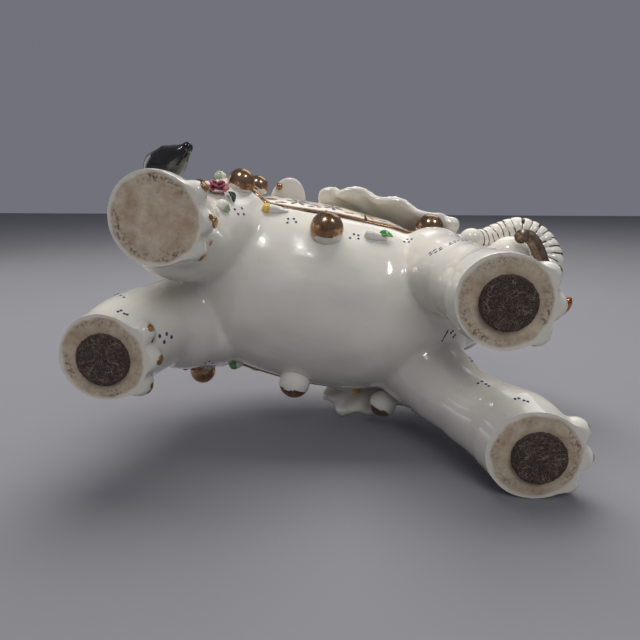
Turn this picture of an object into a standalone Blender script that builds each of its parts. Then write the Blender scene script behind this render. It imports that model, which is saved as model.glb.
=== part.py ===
"""Porcelain elephant sculpture, in metres, +Z up, walking towards +X, on three felt pads of its four."""

import math

import bmesh
import bpy
from mathutils import Matrix, Vector
from mathutils.bvhtree import BVHTree

# Pads and soles
PAD_DIAMETER = 0.025
PAD_THICKNESS = 0.0025
PAD_EDGE = 0.0004
GLUE_GAP = 0.0003
SOLE_Z = PAD_THICKNESS + GLUE_GAP

# Feet: where the four soles stand, from the middle of the feet
WHEELBASE = 0.180
HIND_TRACK = 0.069
FRONT_TRACK = 0.066
HIND_STRIDE = 0.015
FRONT_STRIDE = 0.034
HIND_SOLE_RADIUS = 0.0212
FRONT_SOLE_RADIUS = 0.0220
TOE_RADIUS = 0.0068
TOE_ANGLES = (-44, -8, 30)
PAD_FORWARD = 0.001

# Trunk of the body: a barrel lying along X
BODY_RADIUS = 0.0520
BODY_AXIS_Z = 0.095
BODY_SIDE = 0.0032
HIP = Vector((-0.068, 0.5 * BODY_RADIUS, BODY_AXIS_Z - 0.002))
SHOULDER = Vector((0.051, 0.5 * BODY_RADIUS, BODY_AXIS_Z - 0.002))

# Head, turned to the elephant's right
HEAD_RADIUS = 0.033
HEAD_CENTRE = Vector((0.539 * WHEELBASE, -0.545 * HEAD_RADIUS, BODY_AXIS_Z + 0.635 * BODY_RADIUS))
HEAD_TURN = -32

# Trunk, curled round to the right side with bulging rings
TRUNK_ROOT_RADIUS = 0.0112
TRUNK_TIP_RADIUS = 0.0068
RING_PITCH = 0.0043
GROOVE_DEPTH = 0.0005

# Ears: ovals that stand out from the shoulders like wings, with a waved rim
EAR_THICKNESS = 0.0050
EAR_LOBE_RADIUS = 0.0053
# Front end at the head, rear end at the shoulder, half the height and the slant
RIGHT_EAR = (
    HEAD_CENTRE + HEAD_RADIUS * Vector((-0.606, -0.545, 0.030)),
    Vector((-0.128 * WHEELBASE, -0.96 * BODY_RADIUS, BODY_AXIS_Z + 0.54 * BODY_RADIUS)),
    0.024,
    42,
)
LEFT_EAR = (
    HEAD_CENTRE + HEAD_RADIUS * Vector((-0.273, 1.030, -0.061)),
    Vector((0.039 * WHEELBASE, 1.154 * BODY_RADIUS, BODY_AXIS_Z + 0.173 * BODY_RADIUS)),
    0.034,
    48,
)
RUFFLE = 0.0028
RUFFLES = 11
LOBE_SHARE = 0.13
LOBE_ANGLE = 68

# Tusks
TUSK_RADIUS = 0.0048
TUSK_SPREAD = 0.0300
TUSK_REACH = 0.0335
RIGHT_TUSK_WIDTHS = (0.90, 0.85, 0.82, 0.80, 0.80, 0.82, 0.82)
LEFT_TUSK_WIDTHS = (1.25, 1.2, 1.1, 0.92, 0.62, 0.14)

# Saddle blanket and its cord
BLANKET_REAR = -0.056
BLANKET_FRONT = 0.036
BLANKET_HEM_ANGLE = 20
BLANKET_SWEEP = 14
BLANKET_LEFT_LIFT = 7
BLANKET_RAISE = 0.0012
HEM_CORD_RADIUS = 0.0021

# Beads, buds, leaves and roses laid on the body
BEAD_RADIUS = 0.0088
SMALL_BEAD_RADIUS = 0.0062
BUD_RADIUS = 0.0030
ROSE_RADIUS = 0.0060
PETAL_LENGTH = 0.014
LEAF_LENGTH = 0.0062
LEAF_WIDTH = 0.0026

# Side (-1 right, 1 left), share of the wheelbase, angle above the flank's middle, size, and its stand-out share
BEADS = (
    ("flank_right", -1, -0.061, -40, BEAD_RADIUS, 0.35),
    ("shoulder_right", -1, 0.253, 1, 0.92 * BEAD_RADIUS, 0.35),
    ("hip_right", -1, -0.347, -22, 0.85 * BEAD_RADIUS, 0.35),
    ("rump_right", -1, -0.319, -3, SMALL_BEAD_RADIUS, 0.75),
    ("flank_left", 1, -0.058, -32, BEAD_RADIUS, 0.35),
    ("shoulder_left", 1, 0.250, -12, 0.92 * BEAD_RADIUS, 0.80),
    ("hip_left", 1, -0.372, -12, 0.85 * BEAD_RADIUS, 0.35),
    ("rump_left", 1, -0.317, 10, SMALL_BEAD_RADIUS, 0.35),
)
BUDS = (
    ("yellow_right", -1, -0.248, -29, 3.6),
    ("green_right", -1, 0.069, -32.5, 3.0),
    ("tail_right", -1, -0.419, -13, 1.0),
    ("outline_right", -1, -0.357, -50.5, 1.4),
    ("brown_right", -1, -0.439, -37, 1.2),
    ("green_left", 1, -0.267, -20, 2.0),
)

# Tail with its tuft on the right thigh
TAIL_RADIUS = 0.0040
TUFT_RADIUS = 0.0088

VOXEL = 0.0019
BODY_TRIANGLES = 4100

HEAD_FRAME = Matrix.Translation(HEAD_CENTRE) @ Matrix.Rotation(math.radians(HEAD_TURN), 4, "Z")


def clear_scene():
    for obj in list(bpy.data.objects):
        bpy.data.objects.remove(obj, do_unlink=True)


def new_collection(name, hidden=False):
    made = bpy.data.collections.new(name)
    bpy.context.scene.collection.children.link(made)
    made.hide_render = hidden
    return made


def material(name, colour, roughness, metallic=0.0):
    made = bpy.data.materials.new(name)
    made.use_nodes = True
    shader = made.node_tree.nodes["Principled BSDF"]
    shader.inputs["Base Color"].default_value = (*colour, 1.0)
    shader.inputs["Roughness"].default_value = roughness
    shader.inputs["Metallic"].default_value = metallic
    return made


def object_of(name, shape, collection):
    """A mesh object from a bmesh, its doubles merged and its faces turned outwards."""
    bmesh.ops.remove_doubles(shape, verts=shape.verts, dist=1e-6)
    bmesh.ops.recalc_face_normals(shape, faces=shape.faces)
    mesh = bpy.data.meshes.new(name)
    shape.to_mesh(mesh)
    shape.free()
    mesh.shade_smooth()
    made = bpy.data.objects.new(name, mesh)
    collection.objects.link(made)
    return made


def baked(obj):
    """The evaluated mesh of an object, as a new mesh object in its place."""
    graph = bpy.context.evaluated_depsgraph_get()
    mesh = bpy.data.meshes.new_from_object(obj.evaluated_get(graph))
    mesh.transform(obj.matrix_world)
    shape = bmesh.new()
    shape.from_mesh(mesh)
    name = obj.name
    collection = obj.users_collection[0]
    bpy.data.objects.remove(obj, do_unlink=True)
    return object_of(name, shape, collection)


def tube(name, points, radii, collection, sides=12, smooth=True, steps=6):
    """A closed tube along the points, with its own radius at each of them."""
    curve = bpy.data.curves.new(name, "CURVE")
    curve.dimensions = "3D"
    curve.bevel_depth = 1.0
    curve.bevel_resolution = sides // 2 - 2
    curve.use_fill_caps = True
    curve.resolution_u = steps
    curve.twist_mode = "MINIMUM"
    spline = curve.splines.new("BEZIER" if smooth else "POLY")
    knots = spline.bezier_points if smooth else spline.points
    knots.add(len(points) - 1)
    for knot, point, radius in zip(knots, points, radii):
        if smooth:
            knot.co = point
            knot.handle_left_type = "AUTO"
            knot.handle_right_type = "AUTO"
        else:
            knot.co = (*point, 1.0)
        knot.radius = radius
    made = bpy.data.objects.new(name, curve)
    collection.objects.link(made)
    bpy.context.view_layer.update()
    return baked(made)


def ball(name, centre, radii, collection, turn=None, rings=8, segments=12):
    """An ellipsoid; turn is the rotation matrix of its axes."""
    shape = bmesh.new()
    bmesh.ops.create_uvsphere(shape, u_segments=segments, v_segments=rings, radius=1.0)
    place = Matrix.Translation(Vector(centre)) @ (turn or Matrix()) @ Matrix.Diagonal((*radii, 1.0))
    bmesh.ops.transform(shape, matrix=place, verts=shape.verts)
    return object_of(name, shape, collection)


def joined(name, objects, collection):
    shape = bmesh.new()
    for obj in objects:
        shape.from_mesh(obj.data)
        bpy.data.objects.remove(obj, do_unlink=True)
    return object_of(name, shape, collection)


def along(points, count):
    """Evenly spaced places on a smooth curve through the points, and the whole length."""
    dense = []
    padded = [points[0] * 2 - points[1], *points, points[-1] * 2 - points[-2]]
    for a, b, c, d in zip(padded, padded[1:], padded[2:], padded[3:]):
        for step in range(24):
            t = step / 24
            dense.append(
                0.5 * ((b * 2) + (c - a) * t + (a * 2 - b * 5 + c * 4 - d) * t**2 + (b * 3 - a - c * 3 + d) * t**3)
            )
    dense.append(points[-1])
    reach = [0.0]
    for a, b in zip(dense, dense[1:]):
        reach.append(reach[-1] + (b - a).length)
    placed = []
    at = 0
    for index in range(count):
        want = reach[-1] * index / (count - 1)
        while at < len(dense) - 2 and reach[at + 1] < want:
            at += 1
        share = (want - reach[at]) / max(reach[at + 1] - reach[at], 1e-9)
        placed.append(dense[at].lerp(dense[at + 1], min(share, 1.0)))
    return placed, reach[-1]


def feet():
    """Name, place of the sole's middle, its radius and whether its pad is still there."""
    half = WHEELBASE / 2
    return (
        ("hind_right", Vector((-half + HIND_STRIDE / 2, -HIND_TRACK / 2, SOLE_Z)), HIND_SOLE_RADIUS, False),
        ("hind_left", Vector((-half - HIND_STRIDE / 2, HIND_TRACK / 2, SOLE_Z)), HIND_SOLE_RADIUS, True),
        ("front_right", Vector((half - FRONT_STRIDE / 2, -FRONT_TRACK / 2, SOLE_Z)), FRONT_SOLE_RADIUS, True),
        ("front_left", Vector((half + FRONT_STRIDE / 2, FRONT_TRACK / 2, SOLE_Z)), FRONT_SOLE_RADIUS, True),
    )


def leg(name, sole, radius, forms):
    """One leg from below its sole up into the barrel, leaning to the hip or the shoulder."""
    hind = name.startswith("hind")
    side = -1 if sole.y < 0 else 1
    joint = HIP if hind else SHOULDER
    top = Vector((joint.x, side * joint.y + (BODY_SIDE if hind else 0), joint.z))
    # Height as a share of the joint's, how far the leg has come along X and along Y, and its width
    if hind:
        stations = (
            (0.00, 0.00, 0.00, 1.00),
            (0.08, 0.02, 0.08, 1.01),
            (0.24, 0.10, 0.60, 1.06),
            (0.47, 0.30, 1.10, 1.07),
            (0.72, 0.72, 1.06, 1.27),
            (0.92, 1.00, 1.00, 1.45),
        )
    else:
        stations = (
            (0.00, 0.00, 0.00, 1.00),
            (0.08, 0.03, 0.04, 1.01),
            (0.20, 0.12, 0.24, 1.02),
            (0.33, 0.27, 0.22, 0.91),
            (0.48, 0.47, 0.26, 0.87),
            (0.65, 0.69, 0.55, 0.98),
            (0.96, 1.00, 0.95, 1.16),
        )
    points = [Vector((sole.x, sole.y, SOLE_Z - 0.005))]
    radii = [radius * 0.97]
    for height, along_x, along_y, width in stations:
        x = sole.x + (top.x - sole.x) * along_x
        y = sole.y + (top.y - sole.y) * along_y
        points.append(Vector((x, y, SOLE_Z + (top.z - SOLE_Z) * height)))
        radii.append(radius * width)
    forms.append(tube("leg_" + name, points, radii, forms_collection, 20))
    haunch = Vector((1.12, 0.84, 1.22 if hind else 1.0)) * radii[-1]
    forms.append(ball("haunch_" + name, points[-1], haunch, forms_collection, None, 14, 20))
    for index, angle in enumerate(TOE_ANGLES):
        turn = math.radians(angle)
        reach = radius - 0.18 * TOE_RADIUS
        centre = sole + Vector((math.cos(turn) * reach, math.sin(turn) * reach, TOE_RADIUS * 0.78))
        forms.append(ball(f"toe_{name}_{index}", centre, [TOE_RADIUS] * 3, forms_collection))


def torso(forms):
    """The barrel from the sloping rump to the chest."""
    stations = (
        (-0.550, 0.6, 0.192, 0.34),
        (-0.490, 0.8, 0.154, 0.58),
        (-0.400, 1.0, 0.077, 0.82),
        (-0.260, 1.0, 0.019, 0.96),
        (-0.050, 1.0, 0.000, 1.00),
        (0.120, 1.0, 0.019, 0.97),
        (0.270, 0.5, 0.115, 0.84),
        (0.370, -1.0, 0.250, 0.62),
    )
    points = [Vector((t * WHEELBASE, y * BODY_SIDE, BODY_AXIS_Z + rise * BODY_RADIUS)) for t, y, rise, _ in stations]
    radii = [share * BODY_RADIUS for *_, share in stations]
    forms.append(tube("barrel", points, radii, forms_collection, 28))


def neck(forms):
    shoulder = Vector((0.31 * WHEELBASE, -0.04 * BODY_RADIUS, BODY_AXIS_Z + 0.27 * BODY_RADIUS))
    middle = shoulder.lerp(HEAD_CENTRE, 0.5) + Vector((0, 0, 0.04 * BODY_RADIUS))
    widths = (0.66 * BODY_RADIUS, 0.60 * BODY_RADIUS, 0.56 * BODY_RADIUS)
    forms.append(tube("neck", (shoulder, middle, HEAD_CENTRE), widths, forms_collection, 20))


def in_head(forward, left, up):
    return HEAD_FRAME @ Vector((forward, left, up))


def head(forms):
    """Skull, twin domes, brows, cheeks, the face that narrows to the trunk, and the lower lip."""
    r = HEAD_RADIUS
    turn = Matrix.Rotation(math.radians(HEAD_TURN), 4, "Z")
    forms.append(ball("skull", in_head(-0.10 * r, 0, 0.06 * r), (1.04 * r, 0.98 * r, 1.06 * r), forms_collection, turn, 16, 24))
    for side in (-1, 1):
        dome = in_head(0.06 * r, side * 0.34 * r, 0.66 * r)
        forms.append(ball(f"dome_{side}", dome, (0.60 * r, 0.46 * r, 0.54 * r), forms_collection, turn))
        cheek = in_head(0.40 * r, side * 0.58 * r, -0.42 * r)
        forms.append(ball(f"cheek_{side}", cheek, [0.40 * r] * 3, forms_collection))
        brow = in_head(0.66 * r, side * 0.50 * r, 0.26 * r)
        forms.append(ball(f"brow_{side}", brow, (0.26 * r, 0.26 * r, 0.17 * r), forms_collection))
    route = (in_head(0.25 * r, 0, 0.18 * r), in_head(0.62 * r, -0.02 * r, -0.10 * r), in_head(0.84 * r, -0.08 * r, -0.38 * r))
    forms.append(tube("face", route, (0.62 * r, 0.50 * r, 0.37 * r), forms_collection, 20))
    lip = (in_head(0.20 * r, 0, -0.74 * r), in_head(0.70 * r, 0, -1.00 * r))
    forms.append(tube("lip", lip, (0.36 * r, 0.17 * r), forms_collection, 12))
    forms.append(ball("lip_end", lip[1], [0.17 * r] * 3, forms_collection))


def ear(name, shape_of, forms):
    """An oval sheet from the head back along the shoulder: it sinks in above, and flares out and waves below."""
    front, rear, half_height, slant = shape_of
    side = -1 if rear.y < 0 else 1
    centre = front.lerp(rear, 0.5)
    along = (front - rear) / 2
    down = Vector((0, side * math.sin(math.radians(slant)), -math.cos(math.radians(slant))))
    out = along.cross(down).normalized()
    shape = bmesh.new()
    bmesh.ops.create_circle(shape, cap_ends=True, segments=72, radius=1.0)
    bmesh.ops.inset_region(shape, faces=shape.faces[:], thickness=0.16, use_even_offset=True)
    bmesh.ops.inset_region(shape, faces=shape.faces[-1:], thickness=0.28, use_even_offset=True)
    for vert in shape.verts:
        reach = vert.co.to_2d().length
        angle = math.atan2(vert.co.y, vert.co.x)
        wave = RUFFLE * math.sin(RUFFLES * angle) * reach**3
        lobe = math.exp(-(((angle - math.radians(LOBE_ANGLE)) / 0.24) ** 2))
        rim = 1 + (0.04 * math.cos(RUFFLES * angle) + LOBE_SHARE * lobe) * reach**3
        vert.co = centre + along * vert.co.x * rim + down * half_height * vert.co.y * rim + out * wave
    made = object_of("ear_" + name, shape, forms_collection)
    wall = made.modifiers.new("wall", "SOLIDIFY")
    wall.thickness = EAR_THICKNESS
    wall.offset = 0
    bpy.context.view_layer.update()
    forms.append(baked(made))
    root = front.lerp(HEAD_CENTRE, 0.5)
    forms.append(tube("ear_root_" + name, (front.lerp(rear, 0.12), front, root), [HEAD_RADIUS * w for w in (0.18, 0.27, 0.36)], forms_collection))
    if side < 0:
        knob = front.lerp(rear, 0.18) + down * half_height * 0.88
        forms.append(ball("ear_lobe", knob, [EAR_LOBE_RADIUS] * 3, forms_collection, None, 12, 18))


def tail(forms):
    """The stem leaves the rump and swings out behind it to the right thigh."""
    route = tail_route()
    forms.append(tube("tail", route, [TAIL_RADIUS] * len(route), forms_collection, 12))


def tail_route():
    rump = Vector((-0.55 * WHEELBASE, 0, BODY_AXIS_Z))
    return (
        rump + Vector((2.0 * TAIL_RADIUS, 0.0, 0.346 * BODY_RADIUS)),
        rump + Vector((-3.25 * TAIL_RADIUS, -0.154 * BODY_RADIUS, 0.327 * BODY_RADIUS)),
        rump + Vector((-5.0 * TAIL_RADIUS, -0.423 * BODY_RADIUS, 0.115 * BODY_RADIUS)),
        rump + Vector((-4.5 * TAIL_RADIUS, -0.712 * BODY_RADIUS, -0.154 * BODY_RADIUS)),
        rump + Vector((-3.0 * TAIL_RADIUS, -0.885 * BODY_RADIUS, -0.346 * BODY_RADIUS)),
    )


def blended(name, forms, collection):
    """Soft forms run together by a voxel remesh, then smoothed."""
    body = joined(name, forms, collection)
    remesh = body.modifiers.new("blend", "REMESH")
    remesh.mode = "VOXEL"
    remesh.voxel_size = VOXEL
    smooth = body.modifiers.new("smooth", "SMOOTH")
    smooth.factor = 0.5
    smooth.iterations = 5
    bpy.context.view_layer.update()
    return baked(body)


def trunk_of_body():
    """The barrel and the legs only, for seating what is laid on them."""
    forms = []
    torso(forms)
    for name, sole, radius, _ in feet():
        leg(name, sole, radius, forms)
    return blended("bare_body", forms, cutters_collection)


def whole_body():
    forms = []
    torso(forms)
    neck(forms)
    head(forms)
    for name, sole, radius, _ in feet():
        leg(name, sole, radius, forms)
    ear("right", RIGHT_EAR, forms)
    ear("left", LEFT_EAR, forms)
    tail(forms)
    body = blended("porcelain_elephant", forms, parts_collection)
    count = sum(len(face.vertices) - 2 for face in body.data.polygons)
    thin = body.modifiers.new("thin", "DECIMATE")
    thin.ratio = BODY_TRIANGLES / count
    bpy.context.view_layer.update()
    return baked(body)


def outer_shell(obj):
    """Drops every shell but the outermost, so that no sealed pocket stays between what was joined."""
    shape = bmesh.new()
    shape.from_mesh(obj.data)
    left = set(shape.verts)
    shells = []
    while left:
        shell = set()
        edge = [left.pop()]
        while edge:
            vert = edge.pop()
            shell.add(vert)
            edge.extend(other for link in vert.link_edges if (other := link.other_vert(vert)) in left)
            left.difference_update(edge)
        shells.append(shell)
    outermost = max(shells, key=len)
    bmesh.ops.delete(shape, geom=[v for v in shape.verts if v not in outermost], context="VERTS")
    shape.to_mesh(obj.data)
    shape.free()


def sole_cutter():
    """A block whose top face is the plane of the soles."""
    depth = 0.03
    shape = bmesh.new()
    bmesh.ops.create_cube(shape, size=1.0)
    size = Matrix.Diagonal((2 * WHEELBASE, WHEELBASE, depth, 1.0))
    bmesh.ops.transform(shape, matrix=Matrix.Translation((0, 0, SOLE_Z - depth / 2)) @ size, verts=shape.verts)
    return object_of("sole_cutter", shape, cutters_collection)


def on_body(tree, station, angle):
    """Place and outward normal on the barrel: angle is 0 at the left flank, 90 on top, -90 at the belly."""
    turn = math.radians(angle)
    out = Vector((0, math.cos(turn), math.sin(turn)))
    start = Vector((station, 0, BODY_AXIS_Z)) + out * 3 * BODY_RADIUS
    place, normal, *_ = tree.ray_cast(start, -out)
    return place, normal


def facing(normal, along_x=Vector((1, 0, 0))):
    """A rotation whose Z is the normal and whose X is as near along_x as it can be."""
    z = normal.normalized()
    y = z.cross(along_x).normalized()
    x = y.cross(z)
    return Matrix((x, y, z)).transposed().to_4x4()


def blanket(tree):
    """A cloth raised off the barrel, its hem corded all round."""
    rows, columns = 8, 10
    shape = bmesh.new()
    bmesh.ops.create_grid(shape, x_segments=columns, y_segments=rows, size=0.5)
    sink = 0.0030
    for vert in shape.verts:
        place, normal = blanket_place(tree, vert.co.x + 0.5, vert.co.y + 0.5)
        vert.co = place + normal * BLANKET_RAISE
    made = object_of("blanket", shape, sprigs_collection)
    if made.data.polygons[0].normal.dot(made.data.polygons[0].center - Vector((0, 0, BODY_AXIS_Z))) < 0:
        made.data.flip_normals()
    wall = made.modifiers.new("wall", "SOLIDIFY")
    wall.thickness = BLANKET_RAISE + sink
    wall.offset = -1
    bpy.context.view_layer.update()
    baked(made)
    edge = []
    steps = 11
    for share in range(steps):
        edge.append((share / steps, 0.0))
    for share in range(steps):
        edge.append((1.0, share / steps))
    for share in range(steps):
        edge.append((1.0 - share / steps, 1.0))
    for share in range(steps):
        edge.append((0.0, 1.0 - share / steps))
    ring = [blanket_place(tree, u, v) for u, v in edge]
    points = [place + normal * 0.25 * BLANKET_RAISE for place, normal in ring]
    curve = bpy.data.curves.new("hem_cord", "CURVE")
    curve.dimensions = "3D"
    curve.bevel_depth = HEM_CORD_RADIUS
    curve.bevel_resolution = 0
    spline = curve.splines.new("POLY")
    spline.points.add(len(points) - 1)
    for knot, point in zip(spline.points, points):
        knot.co = (*point, 1.0)
    spline.use_cyclic_u = True
    cord = bpy.data.objects.new("hem_cord", curve)
    sprigs_collection.objects.link(cord)
    bpy.context.view_layer.update()
    baked(cord)


def blanket_place(tree, u, v):
    """u runs from the rear edge to the front, v from the right hem over the back to the left hem."""
    station = BLANKET_REAR + (BLANKET_FRONT - BLANKET_REAR) * u
    hem = BLANKET_HEM_ANGLE + 1.5 * math.sin(2 * math.pi * u) - BLANKET_SWEEP * u**5
    return on_body(tree, station, 180 + hem - (180 + 2 * hem - BLANKET_LEFT_LIFT) * v)


def bead(name, tree, station, angle, radius, lift=0.35):
    place, normal = on_body(tree, station, angle)
    ball(name, place + normal * radius * lift, [radius] * 3, sprigs_collection, facing(normal), 7, 12)


def bud(name, tree, station, angle, length=2.4, heading=1):
    """A teardrop lying on the glaze, thick at one end."""
    place, normal = on_body(tree, station, angle)
    turn = facing(normal, Vector((heading, 0, 0.15)))
    long = Vector((turn[0][0], turn[1][0], turn[2][0]))
    points = [place + normal * BUD_RADIUS * 0.35 + long * BUD_RADIUS * t for t in (-1.0, 0.0, 0.5 * length, length)]
    widths = [BUD_RADIUS * w for w in (0.55, 1.0, 0.75, 0.25)]
    tube(name, points, widths, sprigs_collection, 6, steps=2)


def leaf(name, tree, station, angle, length=LEAF_LENGTH, width=LEAF_WIDTH):
    place, normal = on_body(tree, station, angle)
    turn = facing(normal, Vector((1, 0, -0.6)))
    ball(name, place + normal * 0.0004, (length, width, 0.62 * width), sprigs_collection, turn, 6, 10)


def rose(name, tree, station, angle):
    """A low rosette of five petals, dished round a raised heart."""
    place, normal = on_body(tree, station, angle)
    turn = Matrix.Translation(place) @ facing(normal)
    shape = bmesh.new()
    bmesh.ops.create_uvsphere(shape, u_segments=15, v_segments=5, radius=1.0)
    for vert in shape.verts:
        reach = vert.co.to_2d().length
        lobes = 1 + 0.14 * math.cos(5 * math.atan2(vert.co.y, vert.co.x))
        dish = 0.27 * ROSE_RADIUS * math.cos(2.2 * math.pi * reach)
        vert.co = Vector((vert.co.x * ROSE_RADIUS * lobes, vert.co.y * ROSE_RADIUS * lobes, vert.co.z * 0.43 * ROSE_RADIUS + dish))
    bmesh.ops.transform(shape, matrix=turn, verts=shape.verts)
    object_of(name, shape, sprigs_collection)


def petal(name, tree, station, angle):
    """A rounded white petal that stands out from the blanket, with a bead near its rear edge."""
    place, normal = on_body(tree, station, angle)
    out = Vector((0, normal.y, 0)).normalized()
    turn = facing(Vector((0, 0, 1)), Vector((1, 0, 0)))
    radii = (0.75 * PETAL_LENGTH, PETAL_LENGTH, 0.186 * PETAL_LENGTH)
    ball(name, place, radii, sprigs_collection, turn, 6, 12)
    dot = place + PETAL_LENGTH * (0.55 * out + Vector((-0.46, 0, -0.157)))
    ball(name + "_bead", dot, [0.15 * PETAL_LENGTH] * 3, sprigs_collection, None, 6, 8)


def sprigs(tree):
    """Everything laid on the two flanks by hand."""
    for name, side, station, above, radius, lift in BEADS:
        bead("bead_" + name, tree, station * WHEELBASE, flank_angle(side, above), radius, lift)
    for name, side, station, above, length in BUDS:
        bud("bud_" + name, tree, station * WHEELBASE, flank_angle(side, above), length)
    leaf("leaf_right", tree, -0.349 * WHEELBASE, flank_angle(-1, -41))
    leaf("leaf_left", tree, -0.383 * WHEELBASE, flank_angle(1, -12))
    rose("rose_right", tree, -0.392 * WHEELBASE, flank_angle(-1, -39.5))
    rose("rose_left", tree, -0.433 * WHEELBASE, flank_angle(1, -14))
    petal("petal_right", tree, -0.219 * WHEELBASE, flank_angle(-1, 16))
    petal("petal_left", tree, -0.219 * WHEELBASE, flank_angle(1, 16))
    front, rear = LEFT_EAR[:2]
    tip = front.lerp(rear, 0.904) + BUD_RADIUS * Vector((0, 1.3, -2.6))
    thick = front.lerp(rear, 0.748) + BUD_RADIUS * Vector((0, 3.2, -3.83))
    widths = [BUD_RADIUS * w for w in (0.25, 0.75, 1.0, 0.55)]
    tube("bud_ear_left", [tip.lerp(thick, t) for t in (0.0, 0.4, 0.8, 1.1)], widths, sprigs_collection, 6, steps=2)


def flank_angle(side, above):
    return above if side > 0 else 180 - above


def trunk():
    """The free trunk: rings that bulge between narrow grooves, ending in a soft lobe at the shoulder."""
    r = HEAD_RADIUS
    route = (
        in_head(0.42 * r, 0.02 * r, -0.42 * r),
        in_head(0.80 * r, -0.12 * r, -0.38 * r),
        HEAD_CENTRE + r * Vector((0.773, -0.742, -0.258)),
        HEAD_CENTRE + r * Vector((0.576, -1.061, -0.045)),
        HEAD_CENTRE + r * Vector((0.197, -1.182, 0.061)),
        HEAD_CENTRE + r * Vector((-0.152, -1.030, 0.030)),
        HEAD_CENTRE + r * Vector((-0.424, -0.879, -0.091)),
        HEAD_CENTRE + r * Vector((-0.697, -0.848, -0.273)),
    )
    _, length = along(route, 2)
    rings = max(round(length / RING_PITCH), 3)
    per_ring = 3
    points, _ = along(route, rings * per_ring + 1)
    radii = []
    for index in range(len(points)):
        share = index / (len(points) - 1)
        plain = TRUNK_ROOT_RADIUS + (TRUNK_TIP_RADIUS - TRUNK_ROOT_RADIUS) * share
        radii.append(plain - (GROOVE_DEPTH if index % per_ring == 0 else 0.0))
    tube("trunk", points, radii, sprigs_collection, 10, smooth=False)
    tip = points[-1]
    ball("trunk_tip", tip, [1.12 * TRUNK_TIP_RADIUS] * 3, sprigs_collection, None, 8, 12)


def tusks():
    """Two curved tusks: the right one curls up from the mouth and ends in a flat cut, the left one points outwards."""
    # Forward and outward shares of the reach and the spread, and the drop
    right = (
        (0.70, 0.06, -0.92),
        (0.80, 0.30, -0.88),
        (0.83, 0.53, -0.85),
        (0.82, 0.77, -0.80),
        (0.77, 0.96, -0.76),
        (0.66, 1.05, -0.79),
        (0.60, 1.06, -0.88),
    )
    left = (
        (0.20, 0.53, -0.576),
        (0.50, 0.68, -0.712),
        (0.79, 0.59, -0.803),
        (0.98, 0.50, -0.864),
        (1.08, 0.43, -0.894),
        (1.13, 0.40, -0.909),
    )
    for side, stations, widths in ((-1, right, RIGHT_TUSK_WIDTHS), (1, left, LEFT_TUSK_WIDTHS)):
        route = [in_head(forward * TUSK_REACH, side * out * TUSK_SPREAD, down * HEAD_RADIUS) for forward, out, down in stations]
        tube(f"tusk_{side}", route, [TUSK_RADIUS * w for w in widths], sprigs_collection, 10, steps=2)


def tuft():
    """A curl of hair that ends the tail on the thigh, its tip pointing outwards."""
    start = tail_route()[-1]
    points = (
        start + TUFT_RADIUS * Vector((-0.114, 0.341, 0.341)),
        start + TUFT_RADIUS * Vector((0.341, -0.568, -0.341)),
        start + TUFT_RADIUS * Vector((1.25, -1.136, -0.795)),
        start + TUFT_RADIUS * Vector((1.761, -1.648, -0.966)),
        start + TUFT_RADIUS * Vector((2.136, -2.068, -1.045)),
    )
    widths = [TUFT_RADIUS * w for w in (0.5, 0.95, 1.0, 0.68, 0.36)]
    tube("tuft", points, widths, sprigs_collection, 10, steps=3)
    ball("tuft_end", points[-1], [0.37 * TUFT_RADIUS] * 3, sprigs_collection, None, 8, 12)


def eyes():
    r = HEAD_RADIUS
    for side in (-1, 1):
        ball(f"eye_{side}", in_head(0.76 * r, side * 0.56 * r, 0.14 * r), [0.11 * r] * 3, sprigs_collection, None, 6, 8)


def pad(name, sole):
    """A felt disc with its edge eased, glued under the sole with a hair of room."""
    shape = bmesh.new()
    bmesh.ops.create_cone(
        shape, cap_ends=True, segments=30, radius1=PAD_DIAMETER / 2, radius2=PAD_DIAMETER / 2, depth=PAD_THICKNESS
    )
    centre = Vector((sole.x + PAD_FORWARD, sole.y, PAD_THICKNESS / 2))
    made = object_of("felt_pad_" + name, shape, parts_collection)
    made.location = centre
    made.data.set_sharp_from_angle(angle=math.radians(40))
    edge = made.modifiers.new("eased_edge", "BEVEL")
    edge.width = PAD_EDGE
    edge.segments = 1
    edge.limit_method = "ANGLE"
    made.data.materials.append(felt)
    made.parent = stand
    return made


def helper(obj):
    obj.hide_render = True
    obj.display_type = "WIRE"
    obj.parent = stand


clear_scene()
parts_collection = new_collection("porcelain_elephant")
forms_collection = new_collection("forms", hidden=True)
sprigs_collection = new_collection("sprigs", hidden=True)
cutters_collection = new_collection("cutters", hidden=True)
porcelain = material("glazed porcelain", (0.80, 0.76, 0.68), 0.12)
felt = material("brown felt", (0.045, 0.028, 0.020), 0.95)

stand = bpy.data.objects.new("stand", None)
parts_collection.objects.link(stand)

bare = trunk_of_body()
bpy.context.view_layer.update()
surface = BVHTree.FromObject(bare, bpy.context.evaluated_depsgraph_get())
elephant = whole_body()
blanket(surface)
sprigs(surface)
trunk()
tusks()
tuft()
eyes()

union = elephant.modifiers.new("sprigs", "BOOLEAN")
union.operation = "UNION"
union.operand_type = "COLLECTION"
union.collection = sprigs_collection
union.solver = "EXACT"
flat = elephant.modifiers.new("flat_soles", "BOOLEAN")
flat.operation = "DIFFERENCE"
flat.object = sole_cutter()
flat.solver = "EXACT"
bpy.context.view_layer.update()
elephant = baked(elephant)
outer_shell(elephant)
elephant.data.materials.append(porcelain)
elephant.parent = stand
for name, sole, _, has_pad in feet():
    if has_pad:
        pad(name, sole)
for obj in (*sprigs_collection.objects, *cutters_collection.objects):
    helper(obj)

# The origin is under the middle of the whole piece's box
corners = [Vector(corner) for corner in elephant.bound_box]
middle_x = (min(c.x for c in corners) + max(c.x for c in corners)) / 2
middle_y = (min(c.y for c in corners) + max(c.y for c in corners)) / 2
stand.location = (-middle_x, -middle_y, 0)
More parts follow.
